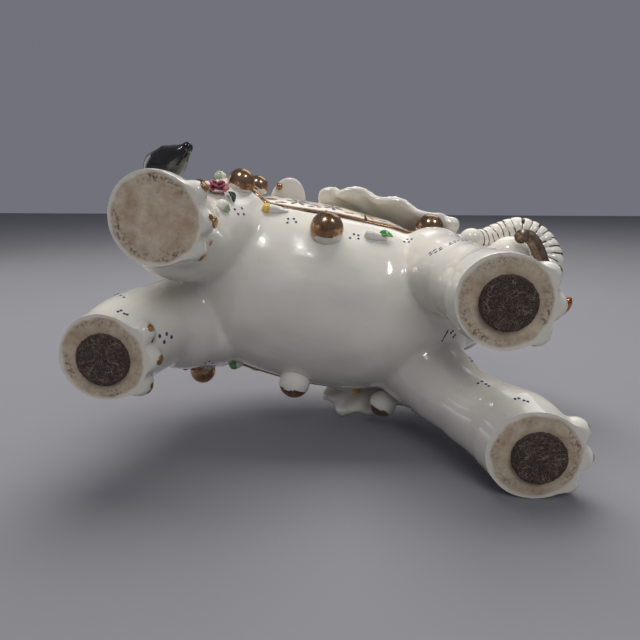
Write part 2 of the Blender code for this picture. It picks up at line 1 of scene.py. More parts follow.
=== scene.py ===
"""Looks of the porcelain elephant: glaze, bronze lustre, enamel flowers, a painted blanket and felt pads."""

import math
import random

import bpy
from mathutils import Matrix, noise, Vector
from mathutils.bvhtree import BVHTree
from mathutils.kdtree import KDTree


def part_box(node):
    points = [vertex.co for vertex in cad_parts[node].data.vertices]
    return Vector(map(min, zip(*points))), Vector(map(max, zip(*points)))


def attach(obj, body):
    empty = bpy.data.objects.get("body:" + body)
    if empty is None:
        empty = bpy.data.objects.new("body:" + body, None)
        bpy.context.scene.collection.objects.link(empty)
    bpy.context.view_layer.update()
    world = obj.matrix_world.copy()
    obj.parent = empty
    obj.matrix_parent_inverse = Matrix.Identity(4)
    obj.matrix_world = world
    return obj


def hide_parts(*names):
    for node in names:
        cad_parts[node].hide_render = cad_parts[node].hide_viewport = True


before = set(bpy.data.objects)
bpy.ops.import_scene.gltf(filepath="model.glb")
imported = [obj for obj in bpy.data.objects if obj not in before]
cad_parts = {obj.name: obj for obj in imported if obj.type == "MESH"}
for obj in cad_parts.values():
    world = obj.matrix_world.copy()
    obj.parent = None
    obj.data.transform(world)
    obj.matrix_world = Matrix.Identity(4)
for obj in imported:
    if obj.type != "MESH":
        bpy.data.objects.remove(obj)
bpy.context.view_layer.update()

# Pads and soles, in metres from the middle of the four feet
PAD_DIAMETER = 0.025
PAD_THICKNESS = 0.0025
PAD_FORWARD = 0.001
SOLE_Z = 0.0028
WHEELBASE = 0.180
HIND_TRACK = 0.069
FRONT_TRACK = 0.066
HIND_STRIDE = 0.015
FRONT_STRIDE = 0.034
HIND_SOLE_RADIUS = 0.0212
FRONT_SOLE_RADIUS = 0.0220
TOE_RADIUS = 0.0068
TOE_ANGLES = (-44, -8, 30)
HIND_X = -WHEELBASE / 2
FRONT_X = WHEELBASE / 2
# Name, middle of the sole, its radius, and whether its felt pad is still there
FEET = (
    ("hind_right", Vector((HIND_X + HIND_STRIDE / 2, -HIND_TRACK / 2, SOLE_Z)), HIND_SOLE_RADIUS, False),
    ("hind_left", Vector((HIND_X - HIND_STRIDE / 2, HIND_TRACK / 2, SOLE_Z)), HIND_SOLE_RADIUS, True),
    ("front_right", Vector((FRONT_X - FRONT_STRIDE / 2, -FRONT_TRACK / 2, SOLE_Z)), FRONT_SOLE_RADIUS, True),
    ("front_left", Vector((FRONT_X + FRONT_STRIDE / 2, FRONT_TRACK / 2, SOLE_Z)), FRONT_SOLE_RADIUS, True),
)
HAIRS_PER_PAD = 300
HAIR_THICKNESS = 0.0045

# Barrel, head, ears, trunk, tusks and tail
BODY_RADIUS = 0.0520
BODY_AXIS_Z = 0.095
BODY_SIDE = 0.0032
HIP = Vector((-0.068, 0.5 * BODY_RADIUS, BODY_AXIS_Z - 0.002))
SHOULDER = Vector((0.051, 0.5 * BODY_RADIUS, BODY_AXIS_Z - 0.002))
HEAD_RADIUS = 0.033
HEAD_CENTRE = Vector((0.539 * WHEELBASE, -0.545 * HEAD_RADIUS, BODY_AXIS_Z + 0.635 * BODY_RADIUS))
HEAD_TURN = Matrix.Rotation(math.radians(-32), 4, "Z")
HEAD_FRAME = Matrix.Translation(HEAD_CENTRE) @ HEAD_TURN
TRUNK_ROOT_RADIUS = 0.0112
TRUNK_TIP_RADIUS = 0.0068
RING_PITCH = 0.0043
EAR_THICKNESS = 0.0050
EAR_LOBE_RADIUS = 0.0053
RIGHT_EAR = (
    HEAD_CENTRE + HEAD_RADIUS * Vector((-0.606, -0.545, 0.030)),
    Vector((-0.128 * WHEELBASE, -0.96 * BODY_RADIUS, BODY_AXIS_Z + 0.54 * BODY_RADIUS)),
    0.024,
    42,
)
LEFT_EAR = (
    HEAD_CENTRE + HEAD_RADIUS * Vector((-0.273, 1.030, -0.061)),
    Vector((0.039 * WHEELBASE, 1.154 * BODY_RADIUS, BODY_AXIS_Z + 0.173 * BODY_RADIUS)),
    0.034,
    48,
)
RUFFLE = 0.0028
RUFFLES = 11
LOBE_SHARE = 0.13
LOBE_ANGLE = 68
TUSK_RADIUS = 0.0048
TUSK_SPREAD = 0.0300
TUSK_REACH = 0.0335
RIGHT_TUSK_WIDTHS = (0.90, 0.85, 0.82, 0.80, 0.80, 0.82, 0.82)
LEFT_TUSK_WIDTHS = (1.25, 1.2, 1.1, 0.92, 0.62, 0.14)
TAIL_RADIUS = 0.0040
TUFT_RADIUS = 0.0088

# Blanket, beads, buds and roses
BLANKET_REAR = -0.056
BLANKET_FRONT = 0.036
BLANKET_HEM_ANGLE = 20
BLANKET_SWEEP = 14
BLANKET_LEFT_LIFT = 7
BLANKET_RAISE = 0.0012
BLANKET_SEAT = 0.003
HEM_CORD_RADIUS = 0.0019
BEAD_RADIUS = 0.0088
SMALL_BEAD_RADIUS = 0.0062
BUD_RADIUS = 0.0030
ROSE_RADIUS = 0.0060
PETAL_LENGTH = 0.014
LEAF_LENGTH = 0.0062
LEAF_WIDTH = 0.0026

# The skin: size of its small faces, and soft dents of the casting that fade out at the barrel's middle
VOXEL = 0.0014
BROAD_DENT = 0.0012
FINE_DENT = 0.0004
DENT_FADE = 0.02

# Side (-1 right, 1 left), share of the wheelbase, angle above the flank's middle, radius, and how much
# of it the middle stands out
BEADS = (
    ("flank_right", -1, -0.061, -40, BEAD_RADIUS, 0.35),
    ("shoulder_right", -1, 0.253, 1, 0.92 * BEAD_RADIUS, 0.35),
    ("hip_right", -1, -0.347, -22, 0.85 * BEAD_RADIUS, 0.35),
    ("rump_right", -1, -0.319, -3, SMALL_BEAD_RADIUS, 0.75),
    ("flank_left", 1, -0.058, -32, BEAD_RADIUS, 0.35),
    ("shoulder_left", 1, 0.250, -12, 0.92 * BEAD_RADIUS, 0.80),
    ("hip_left", 1, -0.372, -12, 0.85 * BEAD_RADIUS, 0.35),
    ("rump_left", 1, -0.317, 10, SMALL_BEAD_RADIUS, 0.35),
)
# Side, share of the wheelbase, angle above the flank's middle, and the tail's length in bud radii
BUDS = (
    ("yellow_right", -1, -0.248, -29, 3.6),
    ("green_right", -1, 0.069, -32.5, 3.0),
    ("tail_right", -1, -0.419, -13, 1.0),
    ("outline_right", -1, -0.357, -50.5, 1.4),
    ("brown_right", -1, -0.439, -37, 1.2),
    ("green_left", 1, -0.267, -20, 2.0),
)

# Where the middle of the feet lies in the frame
pad_low, pad_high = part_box("felt_pad_hind_left")
SHIFT = (pad_low + pad_high) / 2 - (FEET[1][1] + Vector((PAD_FORWARD, 0, 0)))
SHIFT.z = 0.0


# Glazes and enamels


def blank(name):
    made = bpy.data.materials.new(name)
    made.use_nodes = True
    tree = made.node_tree
    return made, tree, tree.nodes["Principled BSDF"], tree.nodes.new("ShaderNodeTexCoord").outputs["Object"]


def cloud(tree, place, scale, detail=3.0, roughness=0.5):
    grain = tree.nodes.new("ShaderNodeTexNoise")
    grain.inputs["Scale"].default_value = scale
    grain.inputs["Detail"].default_value = detail
    grain.inputs["Roughness"].default_value = roughness
    tree.links.new(place, grain.inputs["Vector"])
    return grain.outputs["Fac"]


def ramp(tree, value, *stops):
    node = tree.nodes.new("ShaderNodeValToRGB")
    while len(node.color_ramp.elements) < len(stops):
        node.color_ramp.elements.new(0.5)
    for element, (at, colour) in zip(node.color_ramp.elements, stops):
        element.position = at
        element.color = (*colour, 1.0)
    tree.links.new(value, node.inputs["Fac"])
    return node.outputs["Color"]


def spread(tree, value, low, high, from_low=0.3, from_high=0.7):
    node = tree.nodes.new("ShaderNodeMapRange")
    node.inputs["From Min"].default_value = from_low
    node.inputs["From Max"].default_value = from_high
    node.inputs["To Min"].default_value = low
    node.inputs["To Max"].default_value = high
    tree.links.new(value, node.inputs["Value"])
    return node.outputs["Result"]


def mixed(tree, share, first, second):
    node = tree.nodes.new("ShaderNodeMix")
    node.data_type = "RGBA"
    tree.links.new(share, node.inputs["Factor"])
    for socket, colour in ((node.inputs[6], first), (node.inputs[7], second)):
        if isinstance(colour, tuple):
            socket.default_value = (*colour, 1.0)
        else:
            tree.links.new(colour, socket)
    return node.outputs[2]


def relief(tree, shader, height, strength, distance):
    bump = tree.nodes.new("ShaderNodeBump")
    bump.inputs["Strength"].default_value = strength
    bump.inputs["Distance"].default_value = distance
    tree.links.new(height, bump.inputs["Height"])
    tree.links.new(bump.outputs["Normal"], shader.inputs["Normal"])


def gloss(shader, coat=0.6):
    shader.inputs["Coat Weight"].default_value = coat
    shader.inputs["Coat Roughness"].default_value = 0.04
    shader.inputs["IOR"].default_value = 1.52


def white_glaze():
    """Warm white, a shade greyer where the glaze pools, with a few iron specks and a faint ripple."""
    made, tree, shader, place = blank("clear glaze on white body")
    base = ramp(tree, cloud(tree, place, 26, 4), (0.25, (0.70, 0.665, 0.585)), (0.75, (0.80, 0.765, 0.68)))
    specks = spread(tree, cloud(tree, place, 1100, 1), 0.0, 0.75, 0.79, 0.85)
    tree.links.new(mixed(tree, specks, base, (0.22, 0.14, 0.08)), shader.inputs["Base Color"])
    tree.links.new(spread(tree, cloud(tree, place, 60), 0.10, 0.20), shader.inputs["Roughness"])
    relief(tree, shader, cloud(tree, place, 95, 2), 0.18, 0.0012)
    gloss(shader)
    return made


def lustre(name, thin, thick, roughness=(0.16, 0.30)):
    """A fired metal lustre, brushed on unevenly so that it is thin and pale in places."""
    made, tree, shader, place = blank(name)
    shader.inputs["Metallic"].default_value = 1.0
    patches = cloud(tree, place, 140, 5, 0.6)
    tree.links.new(ramp(tree, patches, (0.30, thin), (0.62, thick)), shader.inputs["Base Color"])
    tree.links.new(spread(tree, cloud(tree, place, 420, 3), *roughness), shader.inputs["Roughness"])
    relief(tree, shader, cloud(tree, place, 260, 3), 0.12, 0.0006)
    return made


def enamel(name, deep, pale, scale=420, roughness=0.16):
    """An overglaze colour that pools dark and thins to a paler tone."""
    made, tree, shader, place = blank(name)
    tone = ramp(tree, cloud(tree, place, scale, 4), (0.36, deep), (0.66, pale))
    tree.links.new(tone, shader.inputs["Base Color"])
    sheen = spread(tree, cloud(tree, place, 900), roughness, roughness + 0.12)
    tree.links.new(sheen, shader.inputs["Roughness"])
    relief(tree, shader, cloud(tree, place, 700), 0.15, 0.0004)
    gloss(shader, 0.4)
    return made


def bare_sole():
    """Ground foot ring: pale unglazed clay inside, a speckled brown ring, and the white glaze at its rim."""
    made, tree, shader, place = blank("ground sole")
    reach = tree.nodes.new("ShaderNodeAttribute")
    reach.attribute_name = "sole_reach"
    wander = tree.nodes.new("ShaderNodeMath")
    wander.operation = "MULTIPLY_ADD"
    wander.inputs[1].default_value = 0.16
    tree.links.new(cloud(tree, place, 130, 4), wander.inputs[0])
    tree.links.new(reach.outputs["Fac"], wander.inputs[2])
    clay = ramp(
        tree, cloud(tree, place, 150, 6, 0.62),
        (0.32, (0.40, 0.295, 0.19)), (0.66, (0.62, 0.52, 0.385)),
    )
    ring = ramp(
        tree, cloud(tree, place, 620, 5, 0.7),
        (0.41, (0.17, 0.10, 0.055)), (0.52, (0.55, 0.47, 0.36)),
    )
    in_ring = ramp(
        tree, wander.outputs[0],
        (0.76, (0, 0, 0)), (0.90, (1, 1, 1)), (0.95, (1, 1, 1)), (0.99, (0, 0, 0)),
    )
    sided = spread(tree, cloud(tree, place, 45, 2), 0.0, 1.0, 0.42, 0.60)
    share = tree.nodes.new("ShaderNodeMath")
    share.operation = "MULTIPLY"
    tree.links.new(in_ring, share.inputs[0])
    tree.links.new(sided, share.inputs[1])
    stained = mixed(tree, share.outputs[0], clay, ring)
    grit = spread(tree, cloud(tree, place, 1500, 2), 0.0, 0.9, 0.69, 0.77)
    gritty = mixed(tree, grit, stained, (0.10, 0.065, 0.04))
    rim = spread(tree, wander.outputs[0], 0.0, 1.0, 0.97, 1.03)
    tree.links.new(mixed(tree, rim, gritty, (0.74, 0.69, 0.59)), shader.inputs["Base Color"])
    tree.links.new(spread(tree, rim, 0.72, 0.2, 0.0, 1.0), shader.inputs["Roughness"])
    relief(tree, shader, cloud(tree, place, 800, 5, 0.7), 0.35, 0.0006)
    return made


def brown_felt():
    made, tree, shader, place = blank("brown felt")
    threads = tree.nodes.new("ShaderNodeTexVoronoi")
    threads.feature = "DISTANCE_TO_EDGE"
    threads.inputs["Scale"].default_value = 950
    twist = tree.nodes.new("ShaderNodeVectorMath")
    twist.operation = "MULTIPLY_ADD"
    twist.inputs[1].default_value = (0.004, 0.004, 0.004)
    grain = tree.nodes.new("ShaderNodeTexNoise")
    grain.inputs["Scale"].default_value = 320
    tree.links.new(place, grain.inputs["Vector"])
    tree.links.new(grain.outputs["Color"], twist.inputs[0])
    tree.links.new(place, twist.inputs[2])
    tree.links.new(twist.outputs[0], threads.inputs["Vector"])
    tone = ramp(
        tree, threads.outputs["Distance"],
        (0.02, (0.120, 0.082, 0.058)), (0.16, (0.040, 0.025, 0.018)), (0.45, (0.013, 0.008, 0.006)),
    )
    tree.links.new(tone, shader.inputs["Base Color"])
    tree.links.new(spread(tree, cloud(tree, place, 600), 0.88, 1.0), shader.inputs["Roughness"])
    shader.inputs["Sheen Weight"].default_value = 0.08
    shader.inputs["Sheen Roughness"].default_value = 0.6
    relief(tree, shader, cloud(tree, place, 1300, 5, 0.75), 1.0, 0.0012)
    return made


def felt_hair():
    made, tree, shader, place = blank("loose felt hairs")
    tree.links.new(
        ramp(tree, cloud(tree, place, 300), (0.34, (0.075, 0.050, 0.036)), (0.62, (0.40, 0.31, 0.24))),
        shader.inputs["Base Color"],
    )
    tree.links.new(spread(tree, cloud(tree, place, 800), 0.7, 0.9), shader.inputs["Roughness"])
    return made


GLAZE = white_glaze()
SOLE = bare_sole()
BRONZE = lustre("bronze lustre", (0.25, 0.135, 0.070), (0.52, 0.335, 0.205))
LINE = lustre("bronze brush line", (0.075, 0.045, 0.028), (0.20, 0.125, 0.075), (0.22, 0.42))
# The right tusk's lustre is duller and greyer than the left tusk's copper: painted reflection of the grey
# surroundings
PAINTED_REFLECTION_BRONZE = lustre("brown lustre greyed by painted reflection", (0.15, 0.095, 0.06), (0.37, 0.28, 0.205), (0.24, 0.40))
COPPER = lustre("copper lustre", (0.36, 0.115, 0.03), (0.62, 0.27, 0.10))
GOLD = lustre("worn gold", (0.30, 0.17, 0.06), (0.60, 0.38, 0.17), (0.2, 0.38))
INDIGO = enamel("indigo enamel", (0.016, 0.022, 0.085), (0.045, 0.06, 0.19))
GREY = enamel("washed indigo", (0.035, 0.035, 0.05), (0.15, 0.14, 0.15))
OCHRE = enamel("ochre enamel", (0.20, 0.11, 0.04), (0.46, 0.31, 0.16))
ROSE = enamel("rose enamel", (0.13, 0.010, 0.028), (0.46, 0.15, 0.18), 700)
PINK = enamel("pale rose enamel", (0.42, 0.14, 0.17), (0.76, 0.62, 0.56), 380)
RED = enamel("iron red enamel", (0.35, 0.05, 0.025), (0.50, 0.14, 0.07))
YELLOW = enamel("yellow enamel", (0.72, 0.40, 0.03), (0.84, 0.62, 0.20))
GREEN = enamel("green enamel", (0.02, 0.15, 0.03), (0.13, 0.44, 0.11))
PALE_GREEN = enamel("pale green enamel", (0.24, 0.38, 0.22), (0.62, 0.68, 0.50))
DARK_LEAF = enamel("black green enamel", (0.006, 0.012, 0.010), (0.03, 0.05, 0.03))
BROWN = enamel("brown enamel", (0.06, 0.025, 0.012), (0.20, 0.10, 0.05))
BLACK = enamel("black tail glaze", (0.006, 0.006, 0.007), (0.016, 0.014, 0.014), 120, 0.07)
CREAM = enamel("cream blanket glaze", (0.63, 0.57, 0.46), (0.76, 0.71, 0.61), 60, 0.12)
FELT = brown_felt()
HAIR = felt_hair()


# Ways of shaping


def none_selected():
    if bpy.context.mode != "OBJECT":
        bpy.ops.object.mode_set(mode="OBJECT")
    bpy.ops.object.select_all(action="DESELECT")


def alone(obj):
    none_selected()
    obj.select_set(True)
    bpy.context.view_layer.objects.active = obj


def settled(name, materials):
    """The active object, named, its place moved into its mesh, closed and turned outwards."""
    obj = bpy.context.object
    obj.name = name
    obj.data.name = name
    bpy.ops.object.transform_apply(location=True, rotation=True, scale=True)
    bpy.ops.object.mode_set(mode="EDIT")
    bpy.ops.mesh.select_all(action="SELECT")
    bpy.ops.mesh.remove_doubles(threshold=1e-6)
    bpy.ops.mesh.normals_make_consistent(inside=False)
    bpy.ops.object.mode_set(mode="OBJECT")
    bpy.ops.object.shade_smooth()
    obj.data.materials.clear()
    for finish in materials:
        obj.data.materials.append(finish)
    return obj


def ball(name, centre, radii, materials=(), turn=None, segments=20, rings=12):
    none_selected()
    bpy.ops.mesh.primitive_uv_sphere_add(
        segments=segments, ring_count=rings, radius=1.0, location=Vector(centre) + SHIFT,
        rotation=(turn or Matrix()).to_euler(), scale=radii,
    )
    return settled(name, materials)


def tube(name, points, radii, materials=(), sides=24, smooth=True, steps=8, closed=False):
    """A bevelled curve through the points, with its own radius at each, made a mesh."""
    none_selected()
    bpy.ops.curve.primitive_bezier_curve_add()
    rod = bpy.context.object
    curve = rod.data
    curve.splines.clear()
    curve.dimensions = "3D"
    curve.bevel_depth = 1.0
    curve.bevel_resolution = sides // 2 - 2
    curve.use_fill_caps = True
    curve.resolution_u = steps
    curve.twist_mode = "MINIMUM"
    spline = curve.splines.new("BEZIER" if smooth else "POLY")
    knots = spline.bezier_points if smooth else spline.points
    knots.add(len(points) - 1)
    for knot, point, radius in zip(knots, points, radii):
        where = Vector(point) + SHIFT
        if smooth:
            knot.co = where
            knot.handle_left_type = "AUTO"
            knot.handle_right_type = "AUTO"
        else:
            knot.co = (*where, 1.0)
        knot.radius = radius
    spline.use_cyclic_u = closed
    bpy.ops.object.convert(target="MESH")
    return settled(name, materials)


def gathered(name, objects):
    none_selected()
    for obj in objects:
        obj.select_set(True)
    bpy.context.view_layer.objects.active = objects[0]
    if len(objects) > 1:
        bpy.ops.object.join()
    obj = bpy.context.object
    obj.name = name
    obj.data.name = name
    return obj


def finished(obj, kind, **settings):
    """Adds a modifier and applies it."""
    alone(obj)
    made = obj.modifiers.new(kind.lower(), kind)
    for key, value in settings.items():
        setattr(made, key, value)
    bpy.ops.object.modifier_apply(modifier=made.name)


def pasted(master, matrix):
    """A copy of a small master piece with its own mesh, placed by a matrix."""
    made = master.copy()
    made.data = master.data.copy()
    bpy.context.scene.collection.objects.link(made)
    made.data.transform(matrix)
    return made


def dropped(*objects):
    for obj in objects:
        bpy.data.objects.remove(obj, do_unlink=True)


def tree_of(obj):
    bpy.context.view_layer.update()
    return BVHTree.FromObject(obj, bpy.context.evaluated_depsgraph_get())


def along(points, count):
    """Evenly spaced places on a smooth curve through the points, and the whole length."""
    dense = []
    padded = [points[0] * 2 - points[1], *points, points[-1] * 2 - points[-2]]
    for a, b, c, d in zip(padded, padded[1:], padded[2:], padded[3:]):
        for step in range(24):
            t = step / 24
            slope = (c - a) * t
            bend = (a * 2 - b * 5 + c * 4 - d) * t**2
            sway = (b * 3 - a - c * 3 + d) * t**3
            dense.append(0.5 * (b * 2 + slope + bend + sway))
    dense.append(points[-1])
    reach = [0.0]
    for a, b in zip(dense, dense[1:]):
        reach.append(reach[-1] + (b - a).length)
    placed = []
    at = 0
    for index in range(count):
        want = reach[-1] * index / (count - 1)
        while at < len(dense) - 2 and reach[at + 1] < want:
            at += 1
        share = (want - reach[at]) / max(reach[at + 1] - reach[at], 1e-9)
        placed.append(dense[at].lerp(dense[at + 1], min(share, 1.0)))
    return placed, reach[-1]


def facing(normal, along_x=Vector((1, 0, 0))):
    z = normal.normalized()
    y = z.cross(along_x).normalized()
    x = y.cross(z)
    return Matrix((x, y, z)).transposed().to_4x4()


def in_head(forward, left, up):
    return HEAD_FRAME @ Vector((forward, left, up))


# The fired body


def leg(name, sole, radius):
    hind = name.startswith("hind")
    side = -1 if sole.y < 0 else 1
    joint = HIP if hind else SHOULDER
    top = Vector((joint.x, side * joint.y + (BODY_SIDE if hind else 0), joint.z))
    if hind:
        stations = (
            (0.00, 0.00, 0.00, 1.00),
            (0.08, 0.02, 0.08, 1.01),
            (0.24, 0.10, 0.60, 1.06),
            (0.47, 0.30, 1.10, 1.07),
            (0.72, 0.72, 1.06, 1.27),
            (0.92, 1.00, 1.00, 1.45),
        )
    else:
        stations = (
            (0.00, 0.00, 0.00, 1.00),
            (0.08, 0.03, 0.04, 1.01),
            (0.20, 0.12, 0.24, 1.02),
            (0.33, 0.27, 0.22, 0.91),
            (0.48, 0.47, 0.26, 0.87),
            (0.65, 0.69, 0.55, 0.98),
            (0.96, 1.00, 0.95, 1.16),
        )
    points = [Vector((sole.x, sole.y, SOLE_Z - 0.0020))]
    radii = [radius * 0.99]
    for height, along_x, along_y, width in stations:
        x = sole.x + (top.x - sole.x) * along_x
        y = sole.y + (top.y - sole.y) * along_y
        points.append(Vector((x, y, SOLE_Z + (top.z - SOLE_Z) * height)))
        radii.append(radius * width)
    forms = [tube("leg_" + name, points, radii, (), 40)]
    haunch = Vector((1.12, 0.84, 1.22 if hind else 1.0)) * radii[-1]
    forms.append(ball("haunch_" + name, points[-1], haunch, (), None, 40, 24))
    for index, centre in enumerate(toes(name, sole, radius)):
        forms.append(ball(f"toe_{name}_{index}", centre, [TOE_RADIUS] * 3))
    return forms


def toes(name, sole, radius):
    centres = []
    for angle in TOE_ANGLES:
        turn = math.radians(angle)
        reach = radius - 0.18 * TOE_RADIUS
        centres.append(sole + Vector((math.cos(turn) * reach, math.sin(turn) * reach, TOE_RADIUS * 0.78)))
    return centres


def barrel():
    stations = (
        (-0.550, 0.6, 0.192, 0.34),
        (-0.490, 0.8, 0.154, 0.58),
        (-0.400, 1.0, 0.077, 0.82),
        (-0.260, 1.0, 0.019, 0.96),
        (-0.050, 1.0, 0.000, 1.00),
        (0.120, 1.0, 0.019, 0.97),
        (0.270, 0.5, 0.115, 0.84),
        (0.370, -1.0, 0.250, 0.62),
    )
    points = [
        Vector((t * WHEELBASE, y * BODY_SIDE, BODY_AXIS_Z + rise * BODY_RADIUS)) for t, y, rise, _ in stations
    ]
    return tube("barrel", points, [share * BODY_RADIUS for *_, share in stations], (), 56)


def neck():
    shoulder = Vector((0.31 * WHEELBASE, -0.04 * BODY_RADIUS, BODY_AXIS_Z + 0.27 * BODY_RADIUS))
    middle = shoulder.lerp(HEAD_CENTRE, 0.5) + Vector((0, 0, 0.04 * BODY_RADIUS))
    widths = (0.66 * BODY_RADIUS, 0.60 * BODY_RADIUS, 0.56 * BODY_RADIUS)
    return tube("neck", (shoulder, middle, HEAD_CENTRE), widths, (), 40)


def head():
    r = HEAD_RADIUS
    skull = (1.04 * r, 0.98 * r, 1.06 * r)
    forms = [ball("skull", in_head(-0.10 * r, 0, 0.06 * r), skull, (), HEAD_TURN, 48, 32)]
    for side in (-1, 1):
        dome = in_head(0.06 * r, side * 0.34 * r, 0.66 * r)
        forms.append(ball(f"dome_{side}", dome, (0.60 * r, 0.46 * r, 0.54 * r), (), HEAD_TURN, 32, 20))
        forms.append(ball(f"cheek_{side}", in_head(0.40 * r, side * 0.58 * r, -0.42 * r), [0.40 * r] * 3))
        brow = in_head(0.66 * r, side * 0.50 * r, 0.26 * r)
        forms.append(ball(f"brow_{side}", brow, (0.26 * r, 0.26 * r, 0.17 * r)))
    route = (
        in_head(0.25 * r, 0, 0.18 * r),
        in_head(0.62 * r, -0.02 * r, -0.10 * r),
        in_head(0.84 * r, -0.08 * r, -0.38 * r),
    )
    forms.append(tube("face", route, (0.62 * r, 0.50 * r, 0.37 * r), (), 32))
    lip = (in_head(0.20 * r, 0, -0.74 * r), in_head(0.70 * r, 0, -1.00 * r))
    forms.append(tube("lip", lip, (0.36 * r, 0.17 * r), (), 24))
    forms.append(ball("lip_end", lip[1], [0.17 * r] * 3))
    return forms


def ear(name, shape_of):
    """A disc inset into rings, drawn out to an oval sheet whose rim waves, then given its wall."""
    front, rear, half_height, slant = shape_of
    side = -1 if rear.y < 0 else 1
    centre = front.lerp(rear, 0.5) + SHIFT
    reach_along = (front - rear) / 2
    down = Vector((0, side * math.sin(math.radians(slant)), -math.cos(math.radians(slant))))
    out = reach_along.cross(down).normalized()
    none_selected()
    bpy.ops.mesh.primitive_circle_add(vertices=144, radius=1.0, fill_type="NGON")
    sheet = bpy.context.object
    bpy.ops.object.mode_set(mode="EDIT")
    bpy.ops.mesh.select_all(action="SELECT")
    for step in (0.05, 0.07, 0.08, 0.10, 0.14, 0.18):
        bpy.ops.mesh.inset(thickness=step)
    bpy.ops.object.mode_set(mode="OBJECT")
    for vert in sheet.data.vertices:
        reach = vert.co.to_2d().length
        angle = math.atan2(vert.co.y, vert.co.x)
        wave = RUFFLE * math.sin(RUFFLES * angle) * reach**3
        lobe = math.exp(-(((angle - math.radians(LOBE_ANGLE)) / 0.24) ** 2))
        rim = 1 + (0.04 * math.cos(RUFFLES * angle) + LOBE_SHARE * lobe) * reach**3
        vert.co = centre + reach_along * vert.co.x * rim + down * half_height * vert.co.y * rim + out * wave
    settled("ear_" + name, ())
    finished(sheet, "SOLIDIFY", thickness=EAR_THICKNESS, offset=0)
    root = (front.lerp(rear, 0.12), front, front.lerp(HEAD_CENTRE, 0.5))
    made = [sheet, tube("ear_root_" + name, root, [HEAD_RADIUS * w for w in (0.18, 0.27, 0.36)])]
    if side < 0:
        knob = front.lerp(rear, 0.18) + down * half_height * 0.88
        made.append(ball("ear_lobe", knob, [EAR_LOBE_RADIUS] * 3, (), None, 32, 20))
    return made


def tail_route():
    rump = Vector((-0.55 * WHEELBASE, 0, BODY_AXIS_Z))
    return (
        rump + Vector((2.0 * TAIL_RADIUS, 0.0, 0.346 * BODY_RADIUS)),
        rump + Vector((-3.25 * TAIL_RADIUS, -0.154 * BODY_RADIUS, 0.327 * BODY_RADIUS)),
        rump + Vector((-5.0 * TAIL_RADIUS, -0.423 * BODY_RADIUS, 0.115 * BODY_RADIUS)),
        rump + Vector((-4.5 * TAIL_RADIUS, -0.712 * BODY_RADIUS, -0.154 * BODY_RADIUS)),
        rump + Vector((-3.0 * TAIL_RADIUS, -0.885 * BODY_RADIUS, -0.346 * BODY_RADIUS)),
    )


def blended(name, forms, rounds):
    """Soft forms run together into one skin."""
    body = gathered(name, forms)
    finished(body, "REMESH", mode="VOXEL", voxel_size=VOXEL, use_smooth_shade=True)
    finished(body, "SMOOTH", factor=0.5, iterations=rounds)
    return body


def bare_barrel():
    """The barrel with its legs alone, to seat what is laid on it."""
    forms = [barrel()]
    for name, sole, radius, _ in FEET:
        forms += leg(name, sole, radius)
    return blended("bare_barrel", forms, 8)


def is_sole(face):
    return abs(face.normal.z) > 0.99 and abs(face.center.z - SOLE_Z) < 1e-5


def elephant_body():
    forms = [barrel(), neck(), *head(), *ear("right", RIGHT_EAR), *ear("left", LEFT_EAR)]
    for name, sole, radius, _ in FEET:
        forms += leg(name, sole, radius)
    route = tail_route()
    forms.append(tube("tail", route, [TAIL_RADIUS] * len(route)))
    body = blended("elephant_body", forms, 8)
    normals = [vert.normal.copy() for vert in body.data.vertices]
    for vert, normal in zip(body.data.vertices, normals):
        low = min(max((BODY_AXIS_Z - vert.co.z) / DENT_FADE, 0.0), 1.0)
        dent = BROAD_DENT * noise.noise(vert.co * 30) + FINE_DENT * noise.noise(vert.co * 75)
        vert.co += normal * dent * low
    alone(body)
    bpy.ops.object.mode_set(mode="EDIT")
    bpy.ops.mesh.select_all(action="SELECT")
    bpy.ops.mesh.bisect(
        plane_co=(0, 0, SOLE_Z), plane_no=(0, 0, 1), clear_inner=True, use_fill=True, threshold=1e-7
    )
    bpy.ops.object.mode_set(mode="OBJECT")
    body.data.materials.clear()
    for finish in (GLAZE, SOLE):
        body.data.materials.append(finish)
    for _, sole, radius, _ in FEET:
        alone(body)
        for kind in (body.data.vertices, body.data.edges, body.data.polygons):
            kind.foreach_set("select", [False] * len(kind))
        for face in body.data.polygons:
            face.select = is_sole(face) and (face.center - sole - SHIFT).length < radius
        bpy.ops.object.mode_set(mode="EDIT")
        bpy.context.tool_settings.mesh_select_mode = (False, False, True)
        for share in (0.95, 0.94, 0.92, 0.90, 0.86, 0.80, 0.66):
            bpy.ops.mesh.extrude_region()
            bpy.ops.transform.resize(value=(share, share, 1), center_override=sole + SHIFT)
        bpy.ops.object.mode_set(mode="OBJECT")
    for face in body.data.polygons:
        face.material_index = int(is_sole(face))
    reach = body.data.attributes.new("sole_reach", "FLOAT", "POINT")
    middles = [((sole + SHIFT).to_2d(), radius) for _, sole, radius, _ in FEET]
    for vert, value in zip(body.data.vertices, reach.data):
        value.value = min((vert.co.to_2d() - middle).length / radius for middle, radius in middles)
    alone(body)
    bpy.ops.object.shade_smooth_by_angle(angle=math.radians(50))
    return body


# Trunk, tusks, tuft, eyes and nails


